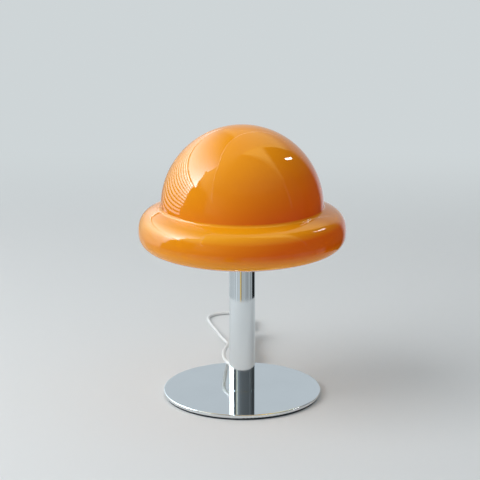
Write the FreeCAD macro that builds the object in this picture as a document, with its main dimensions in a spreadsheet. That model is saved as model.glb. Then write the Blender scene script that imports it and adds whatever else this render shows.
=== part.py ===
"""Mushroom table lamp: a blown glass shade with a rolled brim on a polished tube and disc.

Millimetres. +Z is up and the origin is the centre of the base pad's underside. -Y is the
front. The cord leaves the tube at the rear left and lies behind the lamp.
"""
import FreeCAD, Part
import math
import os
import Sketcher
from FreeCAD import Rotation, Vector

doc = FreeCAD.newDocument("mushroom_table_lamp")
nodes = {}
UP = Vector(0, 0, 1)
ALONG_X = Vector(1, 0, 0)
ALONG_Y = Vector(0, 1, 0)

# Driving dimensions
SIZES = {
    # base
    "pad_inset": 2.5,
    "pad_thickness": 3.0,
    "pad_hole_radius": 14.0,
    "plate_radius": 115.5,
    "plate_thickness": 5.0,
    "plate_edge_radius": 1.0,
    # foot screw, flush with the plate's underside
    "screw_radius": 4.0,
    "screw_length": 18.0,
    "screw_head_radius": 8.0,
    "screw_head_height": 4.0,
    "screw_socket_radius": 2.9,
    "screw_socket_depth": 2.6,
    "thread_clearance": 0.05,
    "seat_clearance": 0.05,
    # tube and its two plugs
    "stem_radius": 19.0,
    "stem_wall": 1.5,
    "stem_edge_radius": 0.5,
    "foot_height": 14.0,
    "head_height": 12.0,
    # level of the glass above the plate
    "stem_showing": 206.6,
    # carrier dish
    "dish_thickness": 1.2,
    "dish_boss_radius": 57.5,
    "dish_boss_height": 7.0,
    "flange_margin": 2.0,
    "dish_rim_depth": 3.0,
    "dish_edge_radius": 0.5,
    # soft ring under the glass
    "ring_inset": 1.0,
    "ring_width": 15.0,
    "ring_thickness": 1.6,
    # glass shade
    "glass_wall": 3.0,
    "brim_overhang": 32.6,
    "brim_drop": 35.0,
    "dome_rise": 35.2,
    "dome_radius": 117.4,
    "crease_radius": 5.0,
    "brim_top_radius": 111.6,
    "brim_top_angle": 52.4,
    "brim_shoulder_radius": 24.3,
    "brim_side_radius": 46.0,
    "brim_side_up_angle": 14.7,
    "brim_side_down_angle": 9.0,
    "brim_under_shoulder_radius": 21.0,
    "brim_under_radius": 142.0,
    "mouth_clearance": 2.5,
    "mouth_polish_radius": 1.0,
    # threaded tube and its nut
    "nipple_radius": 5.0,
    "nipple_bore_radius": 3.9,
    "nipple_below": 14.0,
    "washer_radius": 11.0,
    "washer_thickness": 1.0,
    "nut_across_flats": 14.0,
    "nut_height": 4.0,
    # lampholder
    "holder_wall": 1.45,
    "holder_neck_radius": 9.0,
    "holder_neck_height": 8.0,
    "holder_floor": 2.5,
    "holder_edge_radius": 1.5,
    "holder_cavity_height": 13.0,
    "holder_overlap": 6.0,
    "insert_radius": 17.0,
    "insert_shelf": 2.0,
    "insert_height": 15.0,
    "insert_hole_radius": 1.6,
    "insert_hole_offset": 3.6,
    "shell_top_wall": 3.0,
    "shell_mouth_clearance": 0.5,
    "cap_clearance": 0.08,
    "thread_shell_wall": 0.42,
    "thread_shell_height": 23.0,
    "thread_floor_hole_radius": 7.5,
    "contact_width": 4.0,
    "contact_thickness": 0.4,
    "contact_rise": 2.6,
    "contact_half_length": 6.0,
    "contact_foot": 3.6,
    "contact_top_start": 0.6,
    "contact_top_end": 4.2,
    "contact_bend_offset": 0.9,
    "terminal_offset": 9.0,
    "terminal_size": 5.0,
    "terminal_height": 6.0,
    "terminal_screw_height": 3.6,
    "terminal_screw_radius": 1.5,
    "terminal_screw_head_radius": 2.4,
    "terminal_screw_head_height": 1.6,
    "terminal_screw_length": 4.4,
    "terminal_bore_spare": 1.0,
    # bulb
    "contact_gap": 0.05,
    "cap_radius": 13.2,
    "cap_wall": 0.3,
    "cap_height": 22.0,
    "tip_radius": 4.8,
    "tip_height": 1.8,
    "tip_flat_radius": 2.9,
    "tip_round_height": 0.9,
    "insulator_height": 3.2,
    "insulator_seat": 1.2,
    "bulb_radius": 30.0,
    "bulb_neck_radius": 12.6,
    "bulb_collar": 1.1,
    "bulb_wall": 0.8,
    "bulb_length": 105.0,
    "bulb_seat_depth": 5.0,
    "mount_post_radius": 2.2,
    "mount_disc_radius": 7.0,
    "mount_disc_thickness": 0.8,
    "mount_flare": 1.6,
    "mount_waist": 14.4,
    "mount_low": 24.0,
    "filament_length": 36.0,
    "filament_radius": 0.7,
    "filament_circle": 5.0,
    # lead and its bush
    "cord_radius": 2.7,
    "cord_fit": 0.05,
    "core_radius": 1.1,
    "core_gap": 0.2,
    "core_bend_radius": 1.4,
    "cord_hole_height": 24.5,
    "cord_hole_angle": 117.0,
    "bush_neck_radius": 4.6,
    "bush_collar_radius": 7.5,
    "bush_collar_thickness": 2.4,
    "bush_tail_length": 20.0,
    "bush_tail_root_radius": 5.4,
    "bush_tail_tip_radius": 3.5,
    "bush_inner_reach": 16.5,
    "lead_bend_radius": 24.0,
    "lead_straight": 1.0,
    "lead_rise": 25.0,
    "lead_lean_radius": 288.0,
    "lead_below_nipple": 20.0,
    # in-line switch
    "switch_length": 56.0,
    "switch_width": 22.0,
    "switch_height": 16.0,
    "switch_wall": 1.6,
    "switch_nose_length": 4.0,
    "switch_nose_radius": 4.6,
    "switch_nose_taper": 0.9,
    "switch_cord_grip": 1.0,
    "switch_corner_radius": 7.0,
    "switch_edge_radius": 2.0,
    "rocker_radius": 7.8,
    "rocker_width": 9.6,
    "rocker_gap": 0.3,
    "rocker_end_rise": 3.4,
    "rocker_dip_rise": 2.2,
    "rocker_hip_drop": 1.6,
    "rocker_keel": 4.6,
    "keel_far": 3.4,
    "keel_near": 2.0,
    "rocker_tilt": 8.0,
    "pivot_radius": 1.0,
    "pivot_clearance": 0.06,
    "pivot_below_top": 3.0,
    "ear_thickness": 1.6,
    "ear_radius": 2.2,
    "bridge_thickness": 0.5,
    "bridge_reach": 4.4,
    "bridge_inset": 1.0,
    "stud_radius": 1.1,
    "stud_clearance": 0.2,
    "case_screw_radius": 1.4,
    "case_screw_head_radius": 2.6,
    "case_screw_head_height": 1.6,
    "case_screw_bite": 4.0,
    "case_screw_offset": 20.0,
    "post_wall": 0.6,
    # hank
    "fold_radius": 16.3,
    "waist_half_width": 10.0,
    "hank_half_length": 70.3,
    "layer_gap": 0.6,
    "hank_lead_in": 12.0,
    "tie_thickness": 1.0,
    "tie_width": 9.0,
    "tie_clearance": 0.3,
    # flat two-pin plug
    "plug_width": 35.3,
    "plug_thickness": 13.7,
    "plug_grip_width": 27.0,
    "plug_rear_width": 12.0,
    "plug_rear_thickness": 10.0,
    "plug_edge_radius": 4.9,
    "plug_rear_edge_radius": 3.6,
    "plug_front_length": 7.5,
    "plug_grip_length": 18.7,
    "plug_body_length": 34.0,
    "plug_tail_length": 20.0,
    "plug_tail_root_radius": 4.8,
    "plug_tail_tip_radius": 3.4,
    "pin_radius": 2.0,
    "pin_length": 19.0,
    "pin_nose_radius": 1.4,
    "pin_core_radius": 1.5,
    "pin_spacing": 18.0,
    "sleeve_length": 10.0,
    "sleeve_wall": 0.35,
    "pin_seat": 6.0,
}

sheet = doc.addObject("Spreadsheet::Sheet", "sizes")
for row, (alias, number) in enumerate(SIZES.items(), start=1):
    sheet.set(f"A{row}", alias)
    sheet.set(f"B{row}", str(number))
    sheet.setAlias(f"B{row}", alias)
doc.recompute()


def val(expression):
    """The number that an expression on the sheet gives."""
    result = sheet.evalExpression(str(expression))
    return float(getattr(result, "Value", result))


# Levels, each worked out from the sheet
PLATE_BOTTOM = "sizes.pad_thickness"
PLATE_TOP = "(sizes.pad_thickness + sizes.plate_thickness)"
SEAT = f"({PLATE_TOP} + sizes.stem_showing)"
FLANGE_TOP = f"({SEAT} - sizes.ring_thickness)"
FLANGE_UNDER = f"({FLANGE_TOP} - sizes.dish_thickness)"
BOSS_TOP = f"({FLANGE_TOP} + sizes.dish_boss_height)"
BOSS_UNDER = f"({BOSS_TOP} - sizes.dish_thickness)"
NUT_BOTTOM = f"({BOSS_TOP} + sizes.washer_thickness)"
HOLDER_BOTTOM = f"({NUT_BOTTOM} + sizes.nut_height)"
CAVITY_BOTTOM = f"({HOLDER_BOTTOM} + sizes.holder_neck_height + sizes.holder_floor)"
INSERT_BOTTOM = f"({CAVITY_BOTTOM} + sizes.holder_cavity_height)"
INSERT_TOP = f"({INSERT_BOTTOM} + sizes.insert_height)"
BASE_TOP = f"({INSERT_BOTTOM} + sizes.holder_overlap)"
THREAD_TOP = f"({INSERT_TOP} + sizes.thread_shell_height)"
SHELL_TOP = f"({THREAD_TOP} + sizes.seat_clearance + sizes.shell_top_wall)"
TIP_BOTTOM = f"({INSERT_TOP} + sizes.contact_rise + sizes.contact_thickness + sizes.contact_gap)"
INSULATOR_BOTTOM = f"({TIP_BOTTOM} + sizes.tip_height)"
CAP_BOTTOM = f"({INSULATOR_BOTTOM} + sizes.insulator_height)"
CAP_TOP = f"({CAP_BOTTOM} + sizes.cap_height)"
BULB_TOP = f"({TIP_BOTTOM} + sizes.bulb_length)"
BULB_CENTRE = f"({BULB_TOP} - sizes.bulb_radius)"
GLASS_BOTTOM = f"({CAP_TOP} - sizes.bulb_seat_depth)"
STEM_INNER = "(sizes.stem_radius - sizes.stem_wall)"
CORD_LEVEL = f"({PLATE_TOP} + sizes.cord_hole_height)"
BRIM_LEVEL = f"({SEAT} + sizes.brim_drop)"
DOME_LEVEL = f"({BRIM_LEVEL} + sizes.dome_rise)"
BORE = "(sizes.nipple_radius + sizes.thread_clearance)"

# Radii that follow from one another
PAD_RADIUS = "(sizes.plate_radius - sizes.pad_inset)"
MOUTH_RADIUS = "(sizes.dish_boss_radius + sizes.mouth_clearance)"
RING_INNER = f"({MOUTH_RADIUS} + sizes.ring_inset)"
RING_OUTER = f"({RING_INNER} + sizes.ring_width)"
FLANGE_RADIUS = f"({RING_OUTER} + sizes.flange_margin)"
BRIM_RADIUS = "(sizes.dome_radius + sizes.brim_overhang)"
INSERT_SPACE = "(sizes.insert_radius + sizes.seat_clearance)"
JOINT_OUTER = f"({INSERT_SPACE} + sizes.holder_wall)"
SHELL_INNER = f"({JOINT_OUTER} + sizes.thread_clearance)"
HOLDER_RADIUS = f"({SHELL_INNER} + sizes.holder_wall)"
THREAD_INNER = "(sizes.cap_radius + sizes.cap_clearance)"
THREAD_OUTER = f"({THREAD_INNER} + sizes.thread_shell_wall)"
SHELL_MOUTH = f"({THREAD_OUTER} + sizes.shell_mouth_clearance)"
CORD_BORE = "(sizes.cord_radius + sizes.cord_fit)"
LAYER_STEP = "(2 * sizes.cord_radius + sizes.layer_gap)"
PIN_BORE = "(sizes.pin_core_radius + sizes.seat_clearance)"
SLEEVE_RADIUS = f"({PIN_BORE} + sizes.sleeve_wall)"


def add_node(label, thing):
    """Names a finished sub-part; the label is also its file's name."""
    thing.Label = label
    nodes[label] = thing
    return thing


def plane(body, role):
    return [f for f in body.Origin.OriginFeatures if f.Role == role][0]


def sketch_on(body, role, name):
    sketch = body.newObject("Sketcher::SketchObject", name)
    sketch.AttachmentSupport = (plane(body, role), [""])
    sketch.MapMode = "FlatFace"
    return sketch


def bind(sketch, constraint, expression):
    """Adds a driving constraint and ties its value to the sheet."""
    index = sketch.addConstraint(constraint)
    sketch.setExpression(f"Constraints[{index}]", expression)


def pin_point(sketch, geometry, point, across, up):
    """Holds a sketch point at two expressions, measured from the sketch's origin."""
    if across == "0":
        sketch.addConstraint(Sketcher.Constraint("PointOnObject", geometry, point, -2))
    else:
        bind(sketch, Sketcher.Constraint("DistanceX", -1, 1, geometry, point, val(across)), across)
    if up == "0":
        sketch.addConstraint(Sketcher.Constraint("PointOnObject", geometry, point, -1))
    else:
        bind(sketch, Sketcher.Constraint("DistanceY", -1, 1, geometry, point, val(up)), up)


def polygon(sketch, corners):
    """A closed outline of straight lines through corners given as two expressions each."""
    points = [Vector(val(across), val(up), 0) for across, up in corners]
    sides = zip(points, points[1:] + points[:1])
    lines = [sketch.addGeometry(Part.LineSegment(start, end)) for start, end in sides]
    for line, following in zip(lines, lines[1:] + lines[:1]):
        sketch.addConstraint(Sketcher.Constraint("Coincident", line, 2, following, 1))
    for line, (across, up) in zip(lines, corners):
        pin_point(sketch, line, 1, across, up)


def rounded_rectangle(sketch, half_across, low, high, radius):
    """A rectangle about the sketch's upright axis with four equal round corners; expressions throughout."""
    corner = val(radius)
    right = f"({half_across} - {radius})"
    left = f"(-1 * {right})"
    top = f"({high} - {radius})"
    bottom = f"({low} + {radius})"
    places = [(right, bottom, 270), (right, top, 0), (left, top, 90), (left, bottom, 180)]
    arcs = []
    for across, up, start in places:
        centre = Vector(val(across), val(up), 0)
        arcs.append(sketch.addGeometry(arc(centre, corner, start, start + 90)))
    for index, here in enumerate(arcs):
        following = arcs[(index + 1) % 4]
        ends = [sketch.Geometry[here].EndPoint, sketch.Geometry[following].StartPoint]
        line = sketch.addGeometry(Part.LineSegment(*ends))
        sketch.addConstraint(Sketcher.Constraint("Tangent", here, 2, line, 1))
        sketch.addConstraint(Sketcher.Constraint("Tangent", line, 2, following, 1))
    for here, (across, up, start) in zip(arcs, places):
        pin_point(sketch, here, 3, across, up)
    bind(sketch, Sketcher.Constraint("Radius", arcs[0], corner), radius)
    for here in arcs[1:]:
        sketch.addConstraint(Sketcher.Constraint("Equal", arcs[0], here))


def turned(label, corners):
    """A body turned about the Z axis; corners are (radius, level) expressions."""
    body = doc.addObject("PartDesign::Body", label)
    sketch = sketch_on(body, "XZ_Plane", label + "_section")
    polygon(sketch, corners)
    turn = body.newObject("PartDesign::Revolution", label + "_turned")
    turn.Profile = sketch
    turn.ReferenceAxis = (sketch, ["V_Axis"])
    turn.Angle = 360
    doc.recompute()
    return add_node(label, body)


def ring_section(inner, outer, low, high):
    return [(inner, low), (outer, low), (outer, high), (inner, high)]


def round_over(body, radius, chosen):
    """Fillets the edges of the body's last feature for which chosen(edge) is true."""
    base = body.Tip
    names = [f"Edge{i}" for i, edge in enumerate(base.Shape.Edges, start=1) if chosen(edge)]
    fillet = body.newObject("PartDesign::Fillet", body.Name + "_rounded")
    fillet.Base = (base, names)
    fillet.setExpression("Radius", radius)
    doc.recompute()
    return fillet


def is_circle(edge, radius, level):
    """True for a level circle of this radius at this height."""
    if edge.Degenerated or not isinstance(edge.Curve, Part.Circle):
        return False
    curve = edge.Curve
    return abs(curve.Radius - radius) < 1e-4 and abs(curve.Center.z - level) < 1e-4


def feature(label, shape):
    """A sub-part whose shape is worked out here from the sheet's values."""
    thing = doc.addObject("Part::Feature", label)
    thing.Shape = shape
    return add_node(label, thing)


def place(thing, corner, direction=UP):
    """Puts an object's own origin at three expressions, with its height along direction."""
    here = Vector(*[val(expression) for expression in corner])
    thing.Placement = FreeCAD.Placement(here, Rotation(UP, direction))
    for axis, expression in zip("xyz", corner):
        thing.setExpression(f".Placement.Base.{axis}", expression)
    return thing


def cylinder(name, radius, height, corner, direction=UP):
    """A Part cylinder from corner along direction; radius, height and corner are expressions."""
    thing = doc.addObject("Part::Cylinder", name)
    thing.setExpression("Radius", radius)
    thing.setExpression("Height", height)
    return place(thing, corner, direction)


def cone(name, start_radius, end_radius, height, corner, direction):
    thing = doc.addObject("Part::Cone", name)
    thing.setExpression("Radius1", start_radius)
    thing.setExpression("Radius2", end_radius)
    thing.setExpression("Height", height)
    return place(thing, corner, direction)


def box(name, length, width, height, corner):
    """A Part box with its least corner at three expressions."""
    thing = doc.addObject("Part::Box", name)
    thing.setExpression("Length", length)
    thing.setExpression("Width", width)
    thing.setExpression("Height", height)
    return place(thing, corner)


def common(name, *things):
    thing = doc.addObject("Part::MultiCommon", name)
    thing.Shapes = list(things)
    doc.recompute()
    return thing


def cut(name, base, tool):
    thing = doc.addObject("Part::Cut", name)
    thing.Base = base
    thing.Tool = tool
    doc.recompute()
    return thing


def fuse(name, *things):
    thing = doc.addObject("Part::MultiFuse", name)
    thing.Shapes = list(things)
    thing.Refine = True
    doc.recompute()
    return thing


def group(label, *things):
    """Several like solids that share one node."""
    doc.recompute()
    thing = doc.addObject("Part::Compound", label + "_group")
    thing.Links = list(things)
    doc.recompute()
    return add_node(label, thing)


# Base
def make_base():
    turned("base_pad", ring_section("sizes.pad_hole_radius", PAD_RADIUS, "0", PLATE_BOTTOM))
    hole = "(sizes.screw_radius + sizes.seat_clearance)"
    sink = "(sizes.screw_head_radius + sizes.seat_clearance)"
    sink_top = f"({PLATE_BOTTOM} + sizes.screw_head_height)"
    plate = turned("base_plate", [
        (sink, PLATE_BOTTOM), ("sizes.plate_radius", PLATE_BOTTOM),
        ("sizes.plate_radius", PLATE_TOP), (hole, PLATE_TOP), (hole, sink_top)])
    rim = val("sizes.plate_radius")
    round_over(plate, "sizes.plate_edge_radius",
               lambda e: is_circle(e, rim, val(PLATE_TOP)) or is_circle(e, rim, val(PLATE_BOTTOM)))
    socket_top = f"({PLATE_BOTTOM} + sizes.screw_socket_depth)"
    tip = f"({PLATE_BOTTOM} + sizes.screw_length)"
    screw = turned("foot_screw", [
        ("0", PLATE_BOTTOM), ("sizes.screw_head_radius", PLATE_BOTTOM),
        ("sizes.screw_radius", sink_top), ("sizes.screw_radius", tip), ("0", tip)])
    sketch = sketch_on(screw, "XY_Plane", "screw_socket")
    hexagon(sketch, "sizes.screw_socket_radius")
    socket = screw.newObject("PartDesign::Pocket", "screw_socket_pocket")
    socket.Profile = sketch
    socket.Reversed = True
    socket.setExpression("Length", socket_top)
    doc.recompute()


def round_hole(sketch, across, up, radius):
    """A circle held by expressions for its centre and its radius."""
    circle = sketch.addGeometry(Part.Circle(Vector(val(across), val(up), 0), UP, val(radius)))
    pin_point(sketch, circle, 3, across, up)
    bind(sketch, Sketcher.Constraint("Radius", circle, val(radius)), radius)


def hexagon(sketch, circumradius):
    """A regular hexagon about the sketch's origin, held by a circle through its corners."""
    radius = val(circumradius)
    corners = [Vector(radius * math.cos(math.radians(60 * k)), radius * math.sin(math.radians(60 * k)), 0)
               for k in range(6)]
    for k in range(6):
        sketch.addGeometry(Part.LineSegment(corners[k], corners[(k + 1) % 6]))
    circle = sketch.addGeometry(Part.Circle(Vector(), UP, radius), True)
    sketch.addConstraint(Sketcher.Constraint("Coincident", circle, 3, -1, 1))
    bind(sketch, Sketcher.Constraint("Radius", circle, radius), circumradius)
    for k in range(6):
        sketch.addConstraint(Sketcher.Constraint("Coincident", k, 2, (k + 1) % 6, 1))
        sketch.addConstraint(Sketcher.Constraint("PointOnObject", k, 1, circle))
    for k in range(5):
        sketch.addConstraint(Sketcher.Constraint("Equal", k, k + 1))
    sketch.addConstraint(Sketcher.Constraint("PointOnObject", 0, 1, -1))


# Tube, its plugs and the parts that clamp the dish
def cord_direction():
    angle = math.radians(val("sizes.cord_hole_angle"))
    return Vector(math.cos(angle), math.sin(angle), 0)


def make_stem():
    foot_top = f"({PLATE_TOP} + sizes.foot_height)"
    inner = f"({STEM_INNER} - sizes.seat_clearance)"
    screw_hole = "(sizes.screw_radius + sizes.thread_clearance)"
    turned("stem_foot", ring_section(screw_hole, inner, PLATE_TOP, foot_top))
    head_bottom = f"({BOSS_UNDER} - sizes.head_height)"
    turned("stem_head", ring_section(BORE, inner, head_bottom, BOSS_UNDER))
    tube = turned("stem_tube_blank", ring_section(STEM_INNER, "sizes.stem_radius", PLATE_TOP, BOSS_UNDER))
    del nodes["stem_tube_blank"]
    outside = val("sizes.stem_radius")
    round_over(tube, "sizes.stem_edge_radius", lambda e: is_circle(e, outside, val(PLATE_TOP)))
    hole = cylinder("cord_hole", "sizes.bush_neck_radius + sizes.seat_clearance",
                    "sizes.stem_radius * 2", ("0", "0", CORD_LEVEL), cord_direction())
    add_node("stem_tube", cut("stem_tube_drilled", tube, hole))

    nipple_bottom = f"({BOSS_UNDER} - sizes.nipple_below)"
    turned("hollow_nipple", ring_section("sizes.nipple_bore_radius", "sizes.nipple_radius",
                                         nipple_bottom, CAVITY_BOTTOM))
    turned("nipple_washer", ring_section(BORE, "sizes.washer_radius", BOSS_TOP, NUT_BOTTOM))
    nut = doc.addObject("Part::Prism", "nut_blank")
    nut.Polygon = 6
    nut.setExpression("Circumradius", "sizes.nut_across_flats / 2 / cos(30)")
    nut.setExpression("Height", "sizes.nut_height")
    place(nut, ("0", "0", NUT_BOTTOM))
    bore = cylinder("nut_bore", BORE, "sizes.nut_height", ("0", "0", NUT_BOTTOM))
    add_node("nipple_nut", cut("nut_bored", nut, bore))


# Carrier dish and the soft ring that the glass stands on
def make_carrier():
    boss_inner = "(sizes.dish_boss_radius - sizes.dish_thickness)"
    rim_inner = f"({FLANGE_RADIUS} - sizes.dish_thickness)"
    rim_bottom = f"({FLANGE_TOP} - sizes.dish_rim_depth)"
    dish = turned("shade_carrier", [
        (BORE, BOSS_UNDER), (boss_inner, BOSS_UNDER), (boss_inner, FLANGE_UNDER),
        (rim_inner, FLANGE_UNDER), (rim_inner, rim_bottom), (FLANGE_RADIUS, rim_bottom),
        (FLANGE_RADIUS, FLANGE_TOP), ("sizes.dish_boss_radius", FLANGE_TOP),
        ("sizes.dish_boss_radius", BOSS_TOP), (BORE, BOSS_TOP)])
    flange = val(FLANGE_RADIUS)
    boss = val("sizes.dish_boss_radius")
    round_over(dish, "sizes.dish_edge_radius",
               lambda e: is_circle(e, flange, val(FLANGE_TOP)) or is_circle(e, boss, val(BOSS_TOP)))
    turned("seat_ring", ring_section(RING_INNER, RING_OUTER, FLANGE_TOP, SEAT))


# Glass
def polar(centre, radius, degrees):
    angle = math.radians(degrees)
    return centre + Vector(radius * math.cos(angle), radius * math.sin(angle), 0)


def arc(centre, radius, start, end):
    """An arc of a sketch, counter-clockwise from start to end, in degrees."""
    circle = Part.Circle(centre, UP, radius)
    return Part.ArcOfCircle(circle, math.radians(start), math.radians(end))


def touching_circle(centre_a, reach_a, centre_b, reach_b):
    """The point, on the side of larger x, that lies at two given distances from two centres."""
    gap = centre_b - centre_a
    along = (reach_a ** 2 - reach_b ** 2 + gap.Length ** 2) / (2 * gap.Length)
    off = math.sqrt(reach_a ** 2 - along ** 2)
    unit = gap.normalize()
    side = Vector(-unit.y, unit.x, 0)
    choices = [centre_a + unit * along + side * off, centre_a + unit * along - side * off]
    return max(choices, key=lambda p: p.x)


def heading(centre, point):
    return math.degrees(math.atan2(point.y - centre.y, point.x - centre.x))


def make_shade():
    """Dome, crease and brim as one chain of tangent arcs, turned, hollowed and opened below.

    From the brim's widest point the chain runs up over side, shoulder and top into the
    crease and the dome, and down over side, shoulder and underside to the flat seat.
    """
    side = val("sizes.brim_side_radius")
    shoulder = val("sizes.brim_shoulder_radius")
    top = val("sizes.brim_top_radius")
    lower = val("sizes.brim_under_shoulder_radius")
    under = val("sizes.brim_under_radius")
    dome = val("sizes.dome_radius")
    crease = val("sizes.crease_radius")
    up_angle = val("sizes.brim_side_up_angle")
    top_angle = up_angle + val("sizes.brim_top_angle")
    down_angle = val("sizes.brim_side_down_angle")
    seat = val(SEAT)

    side_centre = Vector(val(BRIM_RADIUS) - side, val(BRIM_LEVEL), 0)
    shoulder_centre = polar(side_centre, side - shoulder, up_angle)
    top_centre = polar(shoulder_centre, shoulder - top, top_angle)
    dome_centre = Vector(0, val(DOME_LEVEL), 0)
    crease_centre = touching_circle(top_centre, top + crease, dome_centre, dome + crease)
    lower_centre = polar(side_centre, side - lower, -down_angle)
    # The underside's arc ends level on the seat, which gives where the lower shoulder ends
    sine = (seat + under - lower_centre.y) / (under - lower)
    under_angle = math.degrees(math.asin(sine))
    under_centre = polar(lower_centre, lower - under, -under_angle)

    body = doc.addObject("PartDesign::Body", "shade_solid")
    sketch = sketch_on(body, "XZ_Plane", "shade_outline")
    axis_top = Vector(0, dome_centre.y + dome, 0)
    axis_bottom = Vector(0, seat, 0)
    seat_edge = Vector(under_centre.x, seat, 0)
    to_dome = heading(crease_centre, dome_centre) % 360
    to_top = heading(crease_centre, top_centre) % 360
    chain = [
        arc(dome_centre, dome, heading(dome_centre, crease_centre), 90),
        arc(crease_centre, crease, to_dome, to_top),
        arc(top_centre, top, top_angle, heading(top_centre, crease_centre)),
        arc(shoulder_centre, shoulder, up_angle, top_angle),
        arc(side_centre, side, 0, up_angle),
        arc(side_centre, side, -down_angle, 0),
        arc(lower_centre, lower, -under_angle, -down_angle),
        arc(under_centre, under, -90, -under_angle),
    ]
    dome_arc, crease_arc, top_arc, shoulder_arc, side_arc, down_arc, lower_arc, under_arc = range(8)
    for curve in chain:
        sketch.addGeometry(curve)
    flat = sketch.addGeometry(Part.LineSegment(axis_bottom, seat_edge))
    spine = sketch.addGeometry(Part.LineSegment(axis_top, axis_bottom))
    start, end, middle = 1, 2, 3

    def join(first, first_end, second, second_end):
        sketch.addConstraint(Sketcher.Constraint("Tangent", first, first_end, second, second_end))

    def sized(geometry, alias):
        expression = "sizes." + alias
        bind(sketch, Sketcher.Constraint("Radius", geometry, val(expression)), expression)

    def spanned(geometry, alias):
        expression = "sizes." + alias
        constraint = Sketcher.Constraint("Angle", geometry, math.radians(val(expression)))
        index = sketch.addConstraint(constraint)
        sketch.setExpression(f"Constraints[{index}]", f"{expression} * 1deg")

    sketch.addConstraint(Sketcher.Constraint("Coincident", dome_arc, end, spine, start))
    sketch.addConstraint(Sketcher.Constraint("Coincident", spine, end, flat, start))
    pin_point(sketch, dome_arc, middle, "0", DOME_LEVEL)
    sketch.addConstraint(Sketcher.Constraint("PointOnObject", spine, start, -2))
    pin_point(sketch, spine, end, "0", SEAT)
    sketch.addConstraint(Sketcher.Constraint("Horizontal", flat))
    join(dome_arc, start, crease_arc, start)
    join(crease_arc, end, top_arc, end)
    join(top_arc, start, shoulder_arc, end)
    join(shoulder_arc, start, side_arc, end)
    join(down_arc, start, lower_arc, end)
    join(lower_arc, start, under_arc, end)
    join(under_arc, start, flat, end)
    sketch.addConstraint(Sketcher.Constraint("Coincident", side_arc, start, down_arc, end))
    sketch.addConstraint(Sketcher.Constraint("Coincident", side_arc, middle, down_arc, middle))
    pin_point(sketch, side_arc, start, BRIM_RADIUS, BRIM_LEVEL)
    bind(sketch, Sketcher.Constraint("DistanceY", -1, 1, side_arc, middle, val(BRIM_LEVEL)), BRIM_LEVEL)
    sized(dome_arc, "dome_radius")
    sized(crease_arc, "crease_radius")
    sized(top_arc, "brim_top_radius")
    sized(shoulder_arc, "brim_shoulder_radius")
    sized(side_arc, "brim_side_radius")
    sized(lower_arc, "brim_under_shoulder_radius")
    sized(under_arc, "brim_under_radius")
    spanned(side_arc, "brim_side_up_angle")
    spanned(down_arc, "brim_side_down_angle")
    spanned(shoulder_arc, "brim_top_angle")

    turn = body.newObject("PartDesign::Revolution", "shade_turned")
    turn.Profile = sketch
    turn.ReferenceAxis = (sketch, ["V_Axis"])
    turn.Angle = 360
    doc.recompute()
    blown("shade", body, "sizes.glass_wall", MOUTH_RADIUS, SEAT, "sizes.mouth_polish_radius")


def blown(label, solid, wall, mouth_radius, level, polish=None):
    """Hollows a glass solid to an even wall, cuts its mouth and rounds the mouth's edges."""
    inside = doc.addObject("Part::Offset", label + "_inside")
    inside.Source = solid
    inside.setExpression("Value", f"-{wall}")
    inside.Mode = 0
    inside.Join = 0
    doc.recompute()
    hollow = cut(label + "_hollow", solid, inside)
    drop = val(wall)
    tool = cylinder(label + "_mouth", mouth_radius, f"{wall} * 3", ("0", "0", f"({level} - {wall})"))
    opened = cut(label + "_opened", hollow, tool)
    if polish is None:
        return add_node(label, opened)
    radius = val(mouth_radius)
    names = []
    for index, edge in enumerate(opened.Shape.Edges, start=1):
        if is_circle(edge, radius, val(level)) or is_circle(edge, radius, val(level) + drop):
            names.append(index)
    polished = doc.addObject("Part::Fillet", label + "_polished")
    polished.Base = opened
    polished.Edges = [(index, val(polish), val(polish)) for index in names]
    doc.recompute()
    return add_node(label, polished)


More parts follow.
